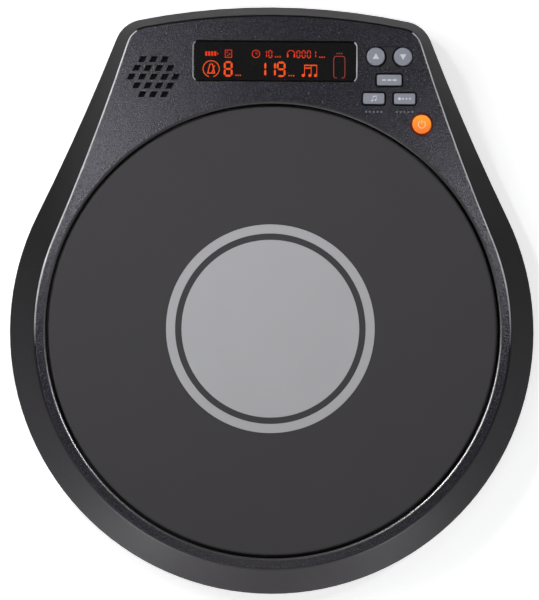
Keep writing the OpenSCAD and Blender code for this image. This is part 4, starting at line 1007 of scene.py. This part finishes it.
CONE = [
    (0, 33.4), (1.5, 33.2), (3, 32.7), (4, 32.15), (5.2, 32.6), (7.5, 33.9), (10, 35.6), (12, 37.2),
    (12.9, 38.0), (13.3, 38.35), (13.9, 38.55), (14.5, 38.45), (14.9, 38.3), (15.7, 38.3),
]
cone = turned("paper_cone", CONE, SPEAKER, 72, False)
paper = cone.modifiers.new("paper", "SOLIDIFY")
paper.thickness = SHEET * MM
bpy.ops.object.modifier_apply(modifier=paper.name)
shade(cone, 60)
cone.data.materials.append(cone_paper)
fit(cone, "housing", "paper_cone", "speaker_cone")
print("cloth and cone triangles:", triangles(cloth), triangles(cone))

# %% [markdown]
# ## Leads and ribbon
# The sensor, the speaker and the battery are wired with twisted pairs. A smooth curve runs through the
# route's points, and two wires wind round it. A flat ribbon of fourteen cores joins the two boards.

# %% Twisted pairs
LEADS = {
    "piezo": [
        (5, 0, 36.2), (5, 0, 33), (6, 2, 30), (11, 9, 27), (22, 22, 24.5), (38, 48, 21.5), (50, 80, 19),
        (50, 112, 19), (44, 138, 20), (36, 151, 20.5), (34, 154, 19.5), (34, 154, 16.6),
    ],
    "battery": [
        (32.5, 89.4, 19), (36, 89.4, 19), (39, 94, 19.5), (37, 112, 20), (30, 132, 20), (20, 147, 20.5),
        (14, 153, 19.5), (14, 154, 18.5), (14, 154, 16.6),
    ],
    "speaker": [
        (-52.25, 144.1, 36.8), (-52.25, 144.1, 33), (-49, 146, 29), (-44, 149, 24), (-37, 154, 20.5),
        (-34, 157, 19), (-34, 157, 16.6),
    ],
}
LAY = 9
WIRE = 0.48
STEP = 0.8


def smooth_route(points, step):
    """Points a step apart, in millimetres, on a smooth curve through a route."""
    ends = [2 * points[0] - points[1]] + points + [2 * points[-1] - points[-2]]
    route = []
    for a, b, c, d in zip(ends, ends[1:], ends[2:], ends[3:]):
        count = max(2, round((c - b).length / step))
        for i in range(count):
            t = i / count
            route.append(
                0.5 * (2 * b + (c - a) * t + (2 * a - 5 * b + 4 * c - d) * t ** 2
                       + (3 * b - a - 3 * c + d) * t ** 3)
            )
    return route + [points[-1]]


def twisted_pair(name, points):
    """Two insulated wires wound round a route, as one mesh."""
    route = smooth_route([Vector((x, y + PAD_Y, z)) for x, y, z in points], STEP)
    side = Vector((0, 0, 1)).orthogonal()
    turn, wires = 0, ([], [])
    for here, after in zip(route, route[1:] + [2 * route[-1] - route[-2]]):
        along = (after - here).normalized()
        side = (side - along * side.dot(along)).normalized()
        across = along.cross(side)
        for wire, start in zip(wires, (0, math.pi)):
            wire.append(here + WIRE * (math.cos(turn + start) * side + math.sin(turn + start) * across))
        turn += math.tau * (after - here).length / LAY
    curve = bpy.data.curves.new(name, "CURVE")
    curve.dimensions = "3D"
    curve.bevel_depth = WIRE * MM
    curve.bevel_resolution = 2
    curve.use_fill_caps = True
    for index, wire in enumerate(wires):
        spline = curve.splines.new("POLY")
        spline.points.add(len(wire) - 1)
        spline.material_index = index
        for point, place in zip(spline.points, wire):
            point.co = (*(place * MM), 1)
    piece = add_object(name, curve)
    curve.materials.append(red_pvc)
    curve.materials.append(black_pvc)
    pick(piece)
    bpy.ops.object.convert(target="MESH")
    piece = bpy.context.object
    shade(piece, 60)
    return piece


for lead, points in LEADS.items():
    pair = twisted_pair(lead + "_pair", points)
    fit(pair, "housing", "lead_sheath", lead + "_lead")
    print(pair.name, "triangles:", triangles(pair))

# %% Ribbon
LOW, HIGH = (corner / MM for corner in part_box("ribbon"))
CORES = 14
CORE_R, CORE_WIDTH = 0.34, 0.66
MARGIN = 0.35
STEPS = 16
PITCH = (HIGH.x - LOW.x) / CORES
curve = bpy.data.curves.new("flat_ribbon", "CURVE")
curve.dimensions = "3D"
curve.bevel_depth = CORE_R * MM
curve.bevel_resolution = 2
curve.use_fill_caps = True
spline = curve.splines.new("POLY")
spline.points.add(STEPS)
for i, point in enumerate(spline.points):
    bow = (HIGH.y - LOW.y - 2 * MARGIN) * (1 - math.cos(math.tau * i / STEPS)) / 2
    point.co = (0, (LOW.y + MARGIN + bow) * MM, (LOW.z + (HIGH.z - LOW.z) * i / STEPS) * MM, 1)
ribbon = add_object("flat_ribbon", curve)
pick(ribbon)
bpy.ops.object.convert(target="MESH")
ribbon = bpy.context.object
bpy.ops.transform.resize(value=(PITCH / CORE_WIDTH, 1, 1), center_override=(0, 0, 0))
bpy.ops.transform.translate(value=((LOW.x + PITCH / 2) * MM, 0, 0))
bpy.ops.object.transform_apply(location=True, scale=True)
cores = ribbon.modifiers.new("cores", "ARRAY")
cores.count = CORES
cores.use_relative_offset = False
cores.use_constant_offset = True
cores.constant_offset_displace = (PITCH * MM, 0, 0)
bpy.ops.object.modifier_apply(modifier=cores.name)
shade(ribbon, 60)
ribbon.data.materials.append(ribbon_pvc)
fit(ribbon, "housing", "ribbon_pvc", "ribbon")
print("flat_ribbon triangles:", triangles(ribbon))
